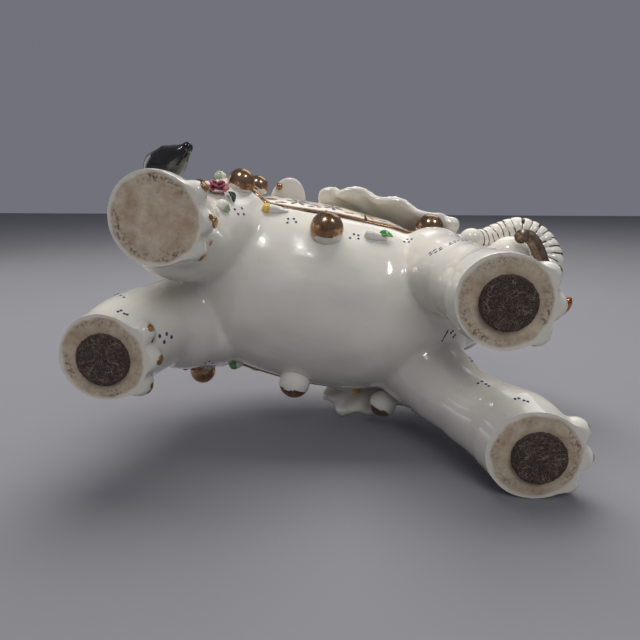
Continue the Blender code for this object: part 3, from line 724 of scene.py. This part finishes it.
def trunk():
    """Rings that bulge between narrow grooves, each with a brushed bronze line on the coil's outer side."""
    r = HEAD_RADIUS
    route = (
        in_head(0.42 * r, 0.02 * r, -0.42 * r),
        in_head(0.80 * r, -0.12 * r, -0.38 * r),
        HEAD_CENTRE + r * Vector((0.773, -0.742, -0.258)),
        HEAD_CENTRE + r * Vector((0.576, -1.061, -0.045)),
        HEAD_CENTRE + r * Vector((0.197, -1.182, 0.061)),
        HEAD_CENTRE + r * Vector((-0.152, -1.030, 0.030)),
        HEAD_CENTRE + r * Vector((-0.424, -0.879, -0.091)),
        HEAD_CENTRE + r * Vector((-0.697, -0.848, -0.273)),
    )
    _, length = along(route, 2)
    rings = max(round(length / RING_PITCH), 3)
    per_ring = 10
    points, _ = along(route, rings * per_ring + 1)
    radii = []
    for index in range(len(points)):
        share = index / (len(points) - 1)
        plain = TRUNK_ROOT_RADIUS + (TRUNK_TIP_RADIUS - TRUNK_ROOT_RADIUS) * share
        phase = index % per_ring / per_ring
        radii.append(plain * (0.945 + 0.07 * math.sin(math.pi * phase) ** 0.6))
    body = tube("trunk", points, radii, (GLAZE, LINE), 40, smooth=False)
    finder = KDTree(len(points))
    for index, point in enumerate(points):
        finder.insert(point + SHIFT, index)
    finder.balance()
    heart = sum(points[len(points) // 4:], Vector()) / (len(points) - len(points) // 4) + SHIFT
    for face in body.data.polygons:
        _, index, _ = finder.find(face.center)
        ring = index / per_ring
        off = abs((ring + 0.5) % 1.0 - 0.5)
        outward = face.normal.dot((face.center - heart).normalized())
        angle = math.atan2(face.normal.y, face.normal.z)
        width = 0.085 + 0.02 * math.sin(3.1 * round(ring) + 2 * angle)
        if off < width and outward > -0.15 + 0.2 * math.sin(2.3 * round(ring)) and round(ring) > 1:
            face.material_index = 1
    tip = ball("trunk_tip", points[-1], [1.08 * TRUNK_TIP_RADIUS] * 3, (GLAZE, LINE), None, 32, 20)
    return gathered("ringed_trunk", [body, tip])


def tusks():
    """Stations are shares of the tusks' reach forward, of their spread outward and of the head's radius."""
    right = (
        (0.70, 0.06, -0.92),
        (0.80, 0.30, -0.88),
        (0.83, 0.53, -0.85),
        (0.82, 0.77, -0.80),
        (0.77, 0.96, -0.76),
        (0.66, 1.05, -0.79),
        (0.60, 1.06, -0.88),
    )
    left = (
        (0.20, 0.53, -0.576),
        (0.50, 0.68, -0.712),
        (0.79, 0.59, -0.803),
        (0.98, 0.50, -0.864),
        (1.08, 0.43, -0.894),
        (1.13, 0.40, -0.909),
    )
    kinds = (
        # the right tusk's duller, greyer lustre is painted reflection of the grey surroundings
        ("right", -1, right, RIGHT_TUSK_WIDTHS, PAINTED_REFLECTION_BRONZE),
        ("left", 1, left, LEFT_TUSK_WIDTHS, COPPER),
    )
    made = []
    for name, side, stations, shares, finish in kinds:
        route = [
            in_head(forward * TUSK_REACH, side * out * TUSK_SPREAD, down * HEAD_RADIUS)
            for forward, out, down in stations
        ]
        widths = [TUSK_RADIUS * w for w in shares]
        made.append(tube(f"tusk_{name}", route, widths, (finish,), 28, steps=10))
    return made


def tail_tuft():
    start = tail_route()[-1]
    points = (
        start + TUFT_RADIUS * Vector((-0.114, 0.341, 0.341)),
        start + TUFT_RADIUS * Vector((0.341, -0.568, -0.341)),
        start + TUFT_RADIUS * Vector((1.25, -1.136, -0.795)),
        start + TUFT_RADIUS * Vector((1.761, -1.648, -0.966)),
        start + TUFT_RADIUS * Vector((2.136, -2.068, -1.045)),
    )
    widths = [TUFT_RADIUS * w for w in (0.5, 0.95, 1.0, 0.68, 0.36)]
    stem = tube("tuft_lock", points, widths, (BLACK,), 24)
    end = ball("tuft_end", points[-1], [0.37 * TUFT_RADIUS] * 3, (BLACK,))
    tuft = gathered("tail_tuft", [stem, end])
    axis = (points[-1] - points[0]).normalized()
    normals = [vert.normal.copy() for vert in tuft.data.vertices]
    for vert, normal in zip(tuft.data.vertices, normals):
        away = vert.co - SHIFT - points[0]
        turn = math.atan2(away.dot(axis.cross(Vector((0, 0, 1)))), away.dot(Vector((0, 0, 1))))
        vert.co += normal * 0.0003 * math.sin(9 * turn + 160 * away.dot(axis))
    return tuft


def eyes():
    r = HEAD_RADIUS
    made = []
    for name, side in (("right", -1), ("left", 1)):
        place = in_head(0.76 * r, side * 0.56 * r, 0.14 * r)
        out = (place - in_head(0.1 * r, 0, 0.1 * r)).normalized()
        white = ball(f"eye_white_{name}", place, [0.12 * r] * 3, (GLAZE, BLACK), None, 24, 16)
        pupil = ball(f"eye_pupil_{name}", place + out * 0.07 * r, [0.072 * r] * 3, (BLACK,), None, 20, 12)
        made += [white, pupil]
        lid = [
            place + facing(out) @ (Vector((math.sin(t), math.cos(t), 0.55)) * 0.135 * r)
            for t in (-1.3, -0.7, 0, 0.7, 1.3)
        ]
        made.append(tube(f"eye_lid_{name}", lid, [0.0004, 0.0009, 0.0011, 0.0009, 0.0004], (BROWN,), 10))
    return made


def toe_nails():
    """A worn touch of gold on each toe."""
    made = []
    for name, sole, radius, _ in FEET:
        nails = []
        for centre in toes(name, sole, radius):
            out = Vector((centre.x - sole.x, centre.y - sole.y, 0)).normalized()
            place = centre + out * TOE_RADIUS * 0.80 + Vector((0, 0, 0.0004))
            turn = facing(out, Vector((0, 0, 1)))
            nails.append(ball("nail", place, (0.0036, 0.0026, 0.0012), (GOLD,), turn, 24, 14))
        made.append(gathered("toe_nails_" + name, nails))
    return made


# What is laid on the glaze


def on_barrel(station, angle):
    """Place and outward normal on the bare barrel: angle 0 is its left flank, 90 its top, 180 its right."""
    turn = math.radians(angle)
    out = Vector((0, math.cos(turn), math.sin(turn)))
    start = Vector((station, 0, BODY_AXIS_Z)) + out * 3 * BODY_RADIUS + SHIFT
    place, normal, *_ = barrel_tree.ray_cast(start, -out)
    return place - SHIFT, normal


def on_skin(x, y, z):
    """Nearest place on the whole body, given in millimetres from the middle of the feet."""
    place, normal, *_ = skin_tree.find_nearest(Vector((x, y, z)) / 1000 + SHIFT)
    return place - SHIFT, normal


def on_flank(station, angle):
    """As on_barrel, but moved to the nearest place of the whole body's skin."""
    place, _ = on_barrel(station, angle)
    place, normal, *_ = skin_tree.find_nearest(place + SHIFT)
    return place - SHIFT, normal


def blanket_place(u, v):
    station = BLANKET_REAR + (BLANKET_FRONT - BLANKET_REAR) * u
    hem = BLANKET_HEM_ANGLE + 1.5 * math.sin(2 * math.pi * u) - BLANKET_SWEEP * u**5
    return on_barrel(station, 180 + hem - (180 + 2 * hem - BLANKET_LEFT_LIFT) * v)


def blanket():
    none_selected()
    bpy.ops.mesh.primitive_grid_add(x_subdivisions=60, y_subdivisions=90, size=1.0)
    cloth = bpy.context.object
    for vert in cloth.data.vertices:
        place, normal = blanket_place(vert.co.x + 0.5, vert.co.y + 0.5)
        vert.co = place + normal * BLANKET_RAISE + SHIFT
    settled("blanket", (CREAM,))
    middle = cloth.data.polygons[len(cloth.data.polygons) // 2]
    if middle.normal.dot(middle.center - SHIFT - Vector((0, 0, BODY_AXIS_Z))) < 0:
        cloth.data.flip_normals()
    finished(cloth, "SOLIDIFY", thickness=BLANKET_RAISE + BLANKET_SEAT, offset=-1)
    return cloth


def hem_cord():
    """A raised band round the blanket's edge, pressed to half its height."""
    steps = 48
    edge = [(share / steps, 0.0) for share in range(steps)]
    edge += [(1.0, share / steps) for share in range(steps)]
    edge += [(1.0 - share / steps, 1.0) for share in range(steps)]
    edge += [(0.0, 1.0 - share / steps) for share in range(steps)]
    ring = [blanket_place(u, v) for u, v in edge]
    points = [place + normal * 0.5 * BLANKET_RAISE for place, normal in ring]
    widths = [1.15 * HEM_CORD_RADIUS] * len(points)
    band = tube("hem_cord", points, widths, (BRONZE,), 14, smooth=False, closed=True)
    finder = KDTree(len(points))
    for index, point in enumerate(points):
        finder.insert(point + SHIFT, index)
    finder.balance()
    for vert in band.data.vertices:
        centre, index, _ = finder.find(vert.co)
        normal = ring[index][1]
        vert.co -= normal * 0.5 * (vert.co - centre).dot(normal)
    return band


def lens(finish):
    return ball("lens", -SHIFT, (1.0, 1.0, 1.0), (finish,), None, 14, 8)


def touch(master, place, normal, length, width, heading, height=0.00028):
    """One touch of the brush: a low lens of colour on the surface."""
    size = Matrix.Diagonal((length / 2, width / 2, height, 1.0))
    return pasted(master, Matrix.Translation(place + SHIFT) @ facing(normal, heading) @ size)


def spots(name, finish, places, width=0.0016):
    master = lens(finish)
    made = []
    for x, y, z in places:
        place, normal = on_skin(x, y, z)
        made.append(touch(master, place, normal, width, width, Vector((1, 0, 0.1))))
    dropped(master)
    return gathered(name, made)


def dot_groups():
    """Small blue-black dots in fours on the white, four larger ones, and worn gold beside two feet."""
    places = (
        (-58.9, -40.0, 52.2), (-56.4, -40.7, 57.1), (-56.8, -38.1, 52.3), (-54.6, -38.3, 55.9),
        (-32.6, -39.5, 68.0), (-29.6, -40.2, 68.5), (-32.3, -37.9, 65.6), (-28.0, -39.1, 66.7),
        (1.9, -37.7, 63.9), (3.5, -39.8, 67.1), (5.9, -39.8, 67.4), (6.3, -38.3, 65.2),
        (31.0, -40.6, 75.4), (32.6, -41.7, 78.5), (33.7, -41.0, 75.4), (35.0, -42.8, 76.8),
        (-106.6, 12.4, 32.3), (-105.4, 11.5, 33.0), (-100.7, 9.7, 24.6), (-98.0, 9.4, 21.7),
        (-95.1, 12.6, 8.7), (-94.3, 12.3, 10.1), (-92.2, 12.9, 8.8), (-90.9, 13.2, 9.1),
        (-60.7, 45.8, 54.4), (-58.8, 44.3, 54.9), (-57.4, 47.0, 60.1), (-57.3, 51.2, 67.0),
        (66.7, 0.3, 63.8), (67.7, -0.8, 64.7), (69.6, 1.5, 66.2), (68.7, 2.6, 65.3),
        (80.1, 11.3, 62.4), (81.2, 11.6, 59.9), (80.0, 10.9, 56.1),
        (79.9, 14.4, 32.0), (81.8, 13.3, 33.2), (83.3, 13.4, 30.3), (84.4, 13.5, 28.3),
        (93.1, 11.7, 12.7), (94.8, 11.0, 13.1), (96.8, 10.9, 11.6), (98.4, 10.7, 11.0),
        (53.8, 48.0, 64.0), (54.1, 44.1, 55.1), (56.6, 46.9, 57.1), (58.7, 47.7, 56.8),
    )
    large = ((-75.9, 21.8, 15.0), (-74.6, 21.9, 20.0), (-72.9, 24.0, 23.2), (-74.2, 25.1, 17.3))
    worn = (
        (-57.3, -41.1, 4.9), (-59.4, -26.9, 18.6),
        (-75.7, 22.1, 7.7), (-70.2, 30.9, 5.2), (-72.3, 43.8, 6.8),
    )
    return [
        spots("painted_dots", INDIGO, places, 0.0015),
        spots("painted_dots_large", INDIGO, large, 0.0021),
        spots("worn_gold_spots", GOLD, worn, 0.0032),
    ]


def strands():
    """Short uneven dashes: two rows along the right foreleg's root and one along the left one's."""
    right = (
        (41.0, -39.0, 50.0),
        (46.8, -43.7, 47.3),
        (51.0, -47.2, 47.7),
        (57.0, -50.0, 53.0),
        (62.0, -50.0, 60.0),
    )
    left = ((61.5, 8.0, 59.8), (63.3, 3.2, 60.9), (64.8, -1.5, 62.4))
    seeded = random.Random(11)
    master = lens(INDIGO)
    made = []
    for route, rows in ((right, (-0.0010, 0.0012)), (left, (0.0,))):
        points, _ = along([Vector(p) / 1000 for p in route], 12)
        for off in rows:
            for before, here, after in zip(points, points[1:], points[2:]):
                if seeded.random() < 0.25:
                    continue
                where = (here + Vector((0, 0, off + seeded.uniform(-0.0005, 0.0005)))) * 1000
                place, normal = on_skin(*where)
                heading = (after - before).normalized() + Vector((0, 0, seeded.uniform(0.1, 0.6)))
                length = seeded.uniform(0.0016, 0.0030)
                made.append(touch(master, place, normal, length, 0.0009, heading, 0.0002))
    dropped(master)
    return gathered("painted_strands", made)


def flower(masters, u, v, size, turn, petals=5):
    """A painted daisy of narrow petals round an ochre heart, with two leaves."""
    ground, heart, leafy = masters
    made = []
    centre, normal = blanket_place(u, v)
    frame_here = Matrix.Translation(centre) @ facing(normal)
    for index in range(petals):
        angle = turn + 2 * math.pi * index / petals
        heading = frame_here.to_3x3() @ Vector((math.cos(angle), math.sin(angle), 0))
        near = centre + heading * size * 0.62
        place, out, *_ = cloth_tree.find_nearest(near + SHIFT)
        made.append(touch(ground, place - SHIFT, out, size * 0.85, size * 0.36, heading, 0.00022))
    place, out, *_ = cloth_tree.find_nearest(centre + SHIFT)
    made.append(touch(heart, place - SHIFT, out, size * 0.42, size * 0.42, Vector((1, 0, 0.1)), 0.0003))
    for bend in (0.5, -0.5):
        angle = turn + bend
        heading = frame_here.to_3x3() @ Vector((math.cos(angle), math.sin(angle), 0))
        place, out, *_ = cloth_tree.find_nearest(centre + heading * size * 1.75 + SHIFT)
        made.append(touch(leafy, place - SHIFT, out, size * 0.9, size * 0.24, heading, 0.0002))
    return made


def blanket_flowers():
    """Rows of loosely brushed daisies, with fuller ones and a few single strokes just above each hem."""
    seeded = random.Random(7)
    grey, ochre, brown, red = lens(GREY), lens(OCHRE), lens(BROWN), lens(RED)
    masters = (grey, ochre, grey)
    second = (ochre, grey, grey)
    full = (
        (0.27, 0.062, 0.0066, masters),
        (0.485, 0.058, 0.0060, masters),
        (0.70, 0.060, 0.0066, second),
        (0.90, 0.060, 0.0050, masters),
    )
    strokes = (
        (0.11, 0.040, 0.0070, 0.0034, brown),
        (0.405, 0.035, 0.0030, 0.0022, red),
        (0.36, 0.030, 0.0042, 0.0014, grey),
        (0.58, 0.030, 0.0048, 0.0016, ochre),
        (0.60, 0.085, 0.0036, 0.0016, red),
        (0.80, 0.030, 0.0046, 0.0015, grey),
        (0.19, 0.026, 0.0044, 0.0014, grey),
    )
    made = []
    for row in range(1, 8):
        for column in range(4):
            u = 0.14 + 0.24 * column + 0.03 * seeded.uniform(-1, 1)
            v = 0.055 + 0.111 * row + 0.012 * seeded.uniform(-1, 1)
            kinds = second if (row + column) % 3 == 2 else masters
            made += flower(kinds, u, v, 0.0050 + 0.0010 * seeded.random(), seeded.uniform(0, 6.28))
    for flank in (0, 1):
        for u, v, size, kinds in full:
            made += flower(kinds, u, abs(flank - v), size, seeded.uniform(0, 6.28), 6)
        for u, v, length, width, ink in strokes:
            place, _ = blanket_place(u, abs(flank - v))
            place, out, *_ = cloth_tree.find_nearest(place + SHIFT)
            made.append(touch(ink, place - SHIFT, out, length, width, Vector((1, 0, 0.2)), 0.00022))
    dropped(grey, ochre, brown, red)
    return gathered("blanket_flowers", made)


def bead(name, station, angle, radius, lean, lift, wrap):
    """A ball of clay on the glaze: its outer cap is lustred and its foot is left white."""
    place, normal = on_barrel(station, angle)
    top = (normal + lean).normalized()
    turn = facing(top)
    made = ball(name, place + normal * radius * lift, [radius] * 3, (GLAZE, BRONZE), turn, 48, 32)
    centre = place + normal * radius * lift + SHIFT
    for face in made.data.polygons:
        around = math.atan2(*(turn.inverted() @ (face.center - centre)).to_2d())
        limit = math.radians(wrap + 6 * math.sin(2 * around + 40 * station) + 4 * math.sin(5 * around))
        if (face.center - centre).angle(top) < limit:
            face.material_index = 1
    return made


def bud(name, station, angle, length, ball_finish, tail_finish):
    """A drop with a coloured round end and a tail of another glaze."""
    place, normal = on_flank(station, angle)
    turn = facing(normal, Vector((1, 0, 0.15)))
    long = Vector((turn[0][0], turn[1][0], turn[2][0]))
    seat = place + normal * BUD_RADIUS * 0.35
    tail = [seat + long * BUD_RADIUS * t for t in (-0.4, 0.4, 0.5 * length, length)]
    widths = [BUD_RADIUS * w for w in (0.7, 0.92, 0.75, 0.22)]
    drop = tube(name + "_tail", tail, widths, (tail_finish,), 16)
    end = ball(name + "_end", seat - long * BUD_RADIUS * 0.2, [BUD_RADIUS] * 3, (ball_finish,), None, 24, 16)
    return gathered(name, [end, drop])


def leaf(name, station, angle, finish, length, width, heading):
    """A pointed leaf, creased along its rib."""
    place, normal = on_flank(station, angle)
    turn = Matrix.Translation(place + normal * 0.0004 + SHIFT) @ facing(normal, heading)
    none_selected()
    bpy.ops.mesh.primitive_grid_add(x_subdivisions=16, y_subdivisions=8, size=2.0)
    blade = bpy.context.object
    for vert in blade.data.vertices:
        x, y = vert.co.x, vert.co.y
        narrow = max(1 - abs(x) ** 2.2, 0.03) * (1 - 0.25 * x)
        rise = 0.0007 + 0.0011 * abs(y) * narrow + 0.0009 * (1 - x * x)
        vert.co = turn @ Vector((x * length, y * width * narrow, rise))
    settled(name, (finish,))
    finished(blade, "SOLIDIFY", thickness=0.0009, offset=-1)
    finished(blade, "SUBSURF", levels=1, render_levels=1)
    return blade


def rose(name, station, angle, finish):
    """Three rounds of thin petals curled about a heart, wound as a modeller does with strips of clay."""
    place, normal = on_flank(station, angle)
    turn = Matrix.Translation(place) @ facing(normal)
    circles = ((6, 0.66, 0.0014, 0.0031), (5, 0.40, 0.0030, 0.0025), (3, 0.16, 0.0042, 0.0017))
    made = []
    for circle, (count, reach, rise, size) in enumerate(circles):
        for index in range(count):
            spin = Matrix.Rotation(2 * math.pi * (index / count + 0.13 * circle), 4, "Z")
            where = spin @ Vector((reach * ROSE_RADIUS, 0, rise))
            tilt = spin @ Matrix.Rotation(math.radians(-32 - 18 * circle), 4, "Y")
            tone = PINK if circle == 0 and index % 2 else finish
            lie = turn @ Matrix.Translation(where) @ tilt
            made.append(ball("petal", turn @ where, (size, size * 1.15, 0.00065), (tone,), lie, 18, 10))
    made.append(ball("heart", turn @ Vector((0, 0, 0.0048)), [0.0012] * 3, (GLAZE,)))
    return gathered(name, made)


def petal(name, station, angle):
    """A rounded white petal that stands out from the blanket, with a lustred dot near its rear edge."""
    place, normal = on_barrel(station, angle)
    out = Vector((0, normal.y, 0)).normalized()
    turn = facing(Vector((0, 0, 1)))
    blade = ball(name + "_blade", place, (0.0105, PETAL_LENGTH, 0.0026), (GLAZE, BRONZE), turn, 48, 24)
    dot = place + PETAL_LENGTH * (0.55 * out + Vector((-0.46, 0, -0.157)))
    pip = ball(name + "_dot", dot, [0.0021] * 3, (BRONZE,))
    return gathered(name, [blade, pip])


def flank_angle(side, above):
    """Angle for on_barrel of a place so many degrees above the middle of a flank."""
    return above if side > 0 else 180 - above


def sprigs():
    """Beads, buds, leaves, roses and side petals, with how far down its ball each bead's lustre reaches."""
    wraps = {
        "flank_right": 103,
        "shoulder_right": 100,
        "hip_right": 104,
        "rump_right": 96,
        "flank_left": 64,
        "shoulder_left": 70,
        "hip_left": 128,
        "rump_left": 90,
    }
    made = []
    for name, side, station, above, radius, lift in BEADS:
        lean = Vector((-0.1, side * 0.9, 0.1))
        angle = flank_angle(side, above)
        made.append(bead("bead_" + name, station * WHEELBASE, angle, radius, lean, lift, wraps[name]))
    finishes = {
        "yellow_right": (YELLOW, GLAZE),
        "green_right": (GLAZE, GLAZE),
        "tail_right": (PALE_GREEN, GLAZE),
        "outline_right": (GLAZE, PALE_GREEN),
        "brown_right": (BROWN, BROWN),
        "green_left": (GREEN, GLAZE),
    }
    for name, side, station, above, length in BUDS:
        angle = flank_angle(side, above)
        made.append(bud("bud_" + name, station * WHEELBASE, angle, length, *finishes[name]))
    leaves = (
        ("leaf_green_right", -1, 0.111, -29.5, GREEN, 0.0042, 0.0026, 0.25),
        ("leaf_right", -1, -0.349, -41, DARK_LEAF, 0.0040, 0.0016, -0.9),
        ("leaf_left", 1, -0.383, -12, DARK_LEAF, LEAF_LENGTH, LEAF_WIDTH, -0.6),
    )
    for name, side, station, above, finish, length, width, droop in leaves:
        angle = flank_angle(side, above)
        made.append(leaf(name, station * WHEELBASE, angle, finish, length, width, Vector((1, 0, droop))))
    made.append(rose("rose_right", -0.392 * WHEELBASE, flank_angle(-1, -39.5), ROSE))
    made.append(rose("rose_left", -0.433 * WHEELBASE, flank_angle(1, -14), ROSE))
    made.append(petal("petal_right", -0.219 * WHEELBASE, flank_angle(-1, 16)))
    made.append(petal("petal_left", -0.219 * WHEELBASE, flank_angle(1, 16)))
    front, rear = LEFT_EAR[:2]
    tip = front.lerp(rear, 0.904) + BUD_RADIUS * Vector((0, 1.3, -2.6))
    thick = front.lerp(rear, 0.748) + BUD_RADIUS * Vector((0, 3.2, -3.83))
    widths = [BUD_RADIUS * w for w in (0.25, 0.75, 0.95)]
    tail = tube("bud_ear_tail", [tip.lerp(thick, t) for t in (0.0, 0.4, 0.8)], widths, (GLAZE,), 16)
    end = ball("bud_ear_end", tip.lerp(thick, 0.88), [BUD_RADIUS * 1.02] * 3, (YELLOW,))
    made.append(gathered("bud_ear_left", [tail, end]))
    return made


# Felt pads


def felt_pad(name, sole, seeded):
    """A felt disc: inset into rings, its faces roughened, with loose hairs lying on its underside."""
    radius = PAD_DIAMETER / 2
    centre = Vector((sole.x + PAD_FORWARD, sole.y, PAD_THICKNESS / 2)) + SHIFT
    none_selected()
    bpy.ops.mesh.primitive_cylinder_add(vertices=96, radius=radius, depth=PAD_THICKNESS, location=centre)
    disc = bpy.context.object
    bpy.ops.object.mode_set(mode="EDIT")
    bpy.ops.mesh.select_all(action="DESELECT")
    bpy.context.tool_settings.mesh_select_mode = (False, False, True)
    bpy.ops.object.mode_set(mode="OBJECT")
    for face in disc.data.polygons:
        face.select = abs(face.normal.z) > 0.9
    bpy.ops.object.mode_set(mode="EDIT")
    for step in (0.0005, 0.0007, 0.0009, 0.0012, 0.0014, 0.0016, 0.0018, 0.0020):
        bpy.ops.mesh.inset(thickness=step)
    bpy.ops.object.mode_set(mode="OBJECT")
    settled("felt_disc_" + name, (FELT, HAIR))
    for vert in disc.data.vertices:
        at_rim = (vert.co - centre).to_2d().length > radius - 0.0001
        vert.co.z += seeded.uniform(-0.0001, 0.0002)
        if at_rim:
            vert.co.z += 0.0003 if vert.co.z < centre.z else -0.0002
            vert.co.x += seeded.uniform(-0.0002, 0.0002)
            vert.co.y += seeded.uniform(-0.0002, 0.0002)
    bends = ((0, 0, 0), (0.3, 0.08, 0.02), (0.65, -0.06, 0), (1, 0.1, 0.01))
    widths = [0.014, 0.02, 0.02, 0.01]
    hair = tube("hair", [Vector(bend) - SHIFT for bend in bends], widths, (HAIR,), 4, steps=2)
    underside = 0.00008 - PAD_THICKNESS / 2
    made = [disc]
    for _ in range(HAIRS_PER_PAD):
        angle = seeded.uniform(0, 2 * math.pi)
        reach = radius * math.sqrt(seeded.random()) * 0.97
        length = seeded.uniform(0.002, 0.0055)
        start = centre + Vector((math.cos(angle) * reach, math.sin(angle) * reach, underside))
        heading = seeded.uniform(0, 2 * math.pi)
        end = start + Vector((math.cos(heading), math.sin(heading), 0)) * length
        if (end - centre).to_2d().length > radius + 0.0006:
            heading += math.pi
        lie = Matrix.Rotation(heading, 4, "Z") @ Matrix.Rotation(seeded.uniform(-0.05, 0.12), 4, "Y")
        size = Matrix.Diagonal((length, length, HAIR_THICKNESS, 1.0))
        made.append(pasted(hair, Matrix.Translation(start) @ lie @ size))
    dropped(hair)
    return gathered("felt_pad_hairs_" + name, made)


# Making


bare = bare_barrel()
barrel_tree = tree_of(bare)
dropped(bare)
body = elephant_body()
skin_tree = tree_of(body)
cloth = blanket()
cloth_tree = tree_of(cloth)
pieces = [body, cloth, hem_cord(), blanket_flowers(), trunk(), *tusks(), tail_tuft()]
pieces += [*eyes(), *toe_nails(), *sprigs(), *dot_groups(), strands()]
seeded = random.Random(3)
pads = [(name, felt_pad(name, sole, seeded)) for name, sole, _, has_pad in FEET if has_pad]

for piece in pieces:
    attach(piece, "root")
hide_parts("porcelain_elephant")
for name, pad in pads:
    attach(pad, "root")
    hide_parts("felt_pad_" + name)


# Floor, light and camera


def floor_finish(name, colour):
    """A plain matt floor that is seen from its upper side alone."""
    made, tree, shader, place = blank(name)
    darker, paler = (tuple(part * share for part in colour) for share in (0.97, 1.03))
    tone = ramp(tree, cloud(tree, place, 2.5, 2), (0.2, darker), (0.8, paler))
    tree.links.new(tone, shader.inputs["Base Color"])
    shader.inputs["Roughness"].default_value = 0.75
    shader.inputs["Specular IOR Level"].default_value = 0.25
    clear = tree.nodes.new("ShaderNodeBsdfTransparent")
    side = tree.nodes.new("ShaderNodeNewGeometry")
    mix = tree.nodes.new("ShaderNodeMixShader")
    tree.links.new(side.outputs["Backfacing"], mix.inputs["Fac"])
    tree.links.new(shader.outputs["BSDF"], mix.inputs[1])
    tree.links.new(clear.outputs["BSDF"], mix.inputs[2])
    tree.links.new(mix.outputs["Shader"], tree.nodes["Material Output"].inputs["Surface"])
    return made


def floor(name, location, rotation, colour, size):
    none_selected()
    bpy.ops.mesh.primitive_plane_add(size=size, location=location, rotation=rotation)
    plane = bpy.context.object
    plane.name = name
    plane.data.materials.append(floor_finish(name, colour))
    return plane


CAMERA_AT = Vector((0.0028, -0.0755, -0.2486)) + SHIFT
CAMERA_RIGHT = Vector((0.9744, -0.2103, 0.0790))
CAMERA_DOWN = Vector((0.2236, 0.9416, -0.2518))
CAMERA_FORWARD = Vector((-0.0214, 0.2630, 0.9646))

FOCAL_LENGTH_PIXELS = 590
PICTURE_PIXELS = 640
SENSOR_WIDTH = 36
LYING_PITCH = math.radians(13.5)
FLOOR_GAP = 0.0003

# The piece is shown lying on its left side: this floor's horizon is level in the view, and it lies just
# under the piece's lowest place
up = (-CAMERA_DOWN * math.cos(LYING_PITCH) - CAMERA_FORWARD * math.sin(LYING_PITCH)).normalized()
contact = min((vert.co for piece in pieces for vert in piece.data.vertices), key=up.dot)
slope = up.to_track_quat("Z", "X").to_euler()
floor("lying_floor", contact - up * FLOOR_GAP, slope, (0.235, 0.235, 0.255), 4.4)
standing = floor("standing_floor", (0, 0, 0), (0, 0, 0), (0.55, 0.55, 0.57), 16.0)
standing.visible_shadow = False
standing.visible_diffuse = False
standing.visible_glossy = False


def lamp(name, location, size, power, colour=(1, 1, 1), in_gloss=True, in_matt=True):
    none_selected()
    bpy.ops.object.light_add(type="AREA", location=location)
    light = bpy.context.object
    light.name = name
    light.data.shape = "RECTANGLE"
    light.data.size, light.data.size_y = size
    light.data.energy = power
    light.data.color = colour
    light.rotation_euler = (Vector((0, 0, 0.07)) - light.location).to_track_quat("-Z", "Y").to_euler()
    light.visible_glossy = in_gloss
    light.visible_diffuse = in_matt


lamp("key", (-0.23, -0.92, 0.48), (0.9, 0.7), 13, (1.0, 0.97, 0.92), in_gloss=False)
lamp("window", (-0.42, -1.00, -0.30), (0.16, 0.24), 2.6, in_matt=False)
lamp("second_window", (0.42, -1.05, -0.20), (0.12, 0.20), 1.6, in_matt=False)
lamp("front", (0.10, -0.85, -0.85), (0.9, 0.6), 4.5, (0.95, 0.97, 1.0), in_gloss=False)
lamp("top", (0.10, -1.10, 1.25), (1.0, 0.8), 3)
lamp("left", (-0.9, 0.05, 0.35), (0.7, 0.7), 1.5)

world = bpy.data.worlds.new("studio")
bpy.context.scene.world = world
world.use_nodes = True
world.node_tree.nodes["Background"].inputs["Color"].default_value = (0.42, 0.42, 0.50, 1)
world.node_tree.nodes["Background"].inputs["Strength"].default_value = 0.40

none_selected()
bpy.ops.object.camera_add()
camera = bpy.context.object
camera.data.sensor_width = SENSOR_WIDTH
camera.data.lens = FOCAL_LENGTH_PIXELS / PICTURE_PIXELS * SENSOR_WIDTH
camera.data.clip_start = 0.01
view = Matrix((CAMERA_RIGHT, -CAMERA_DOWN, -CAMERA_FORWARD)).transposed().to_4x4()
camera.matrix_world = Matrix.Translation(CAMERA_AT) @ view
bpy.context.scene.camera = camera
bpy.context.scene.view_settings.view_transform = "Standard"
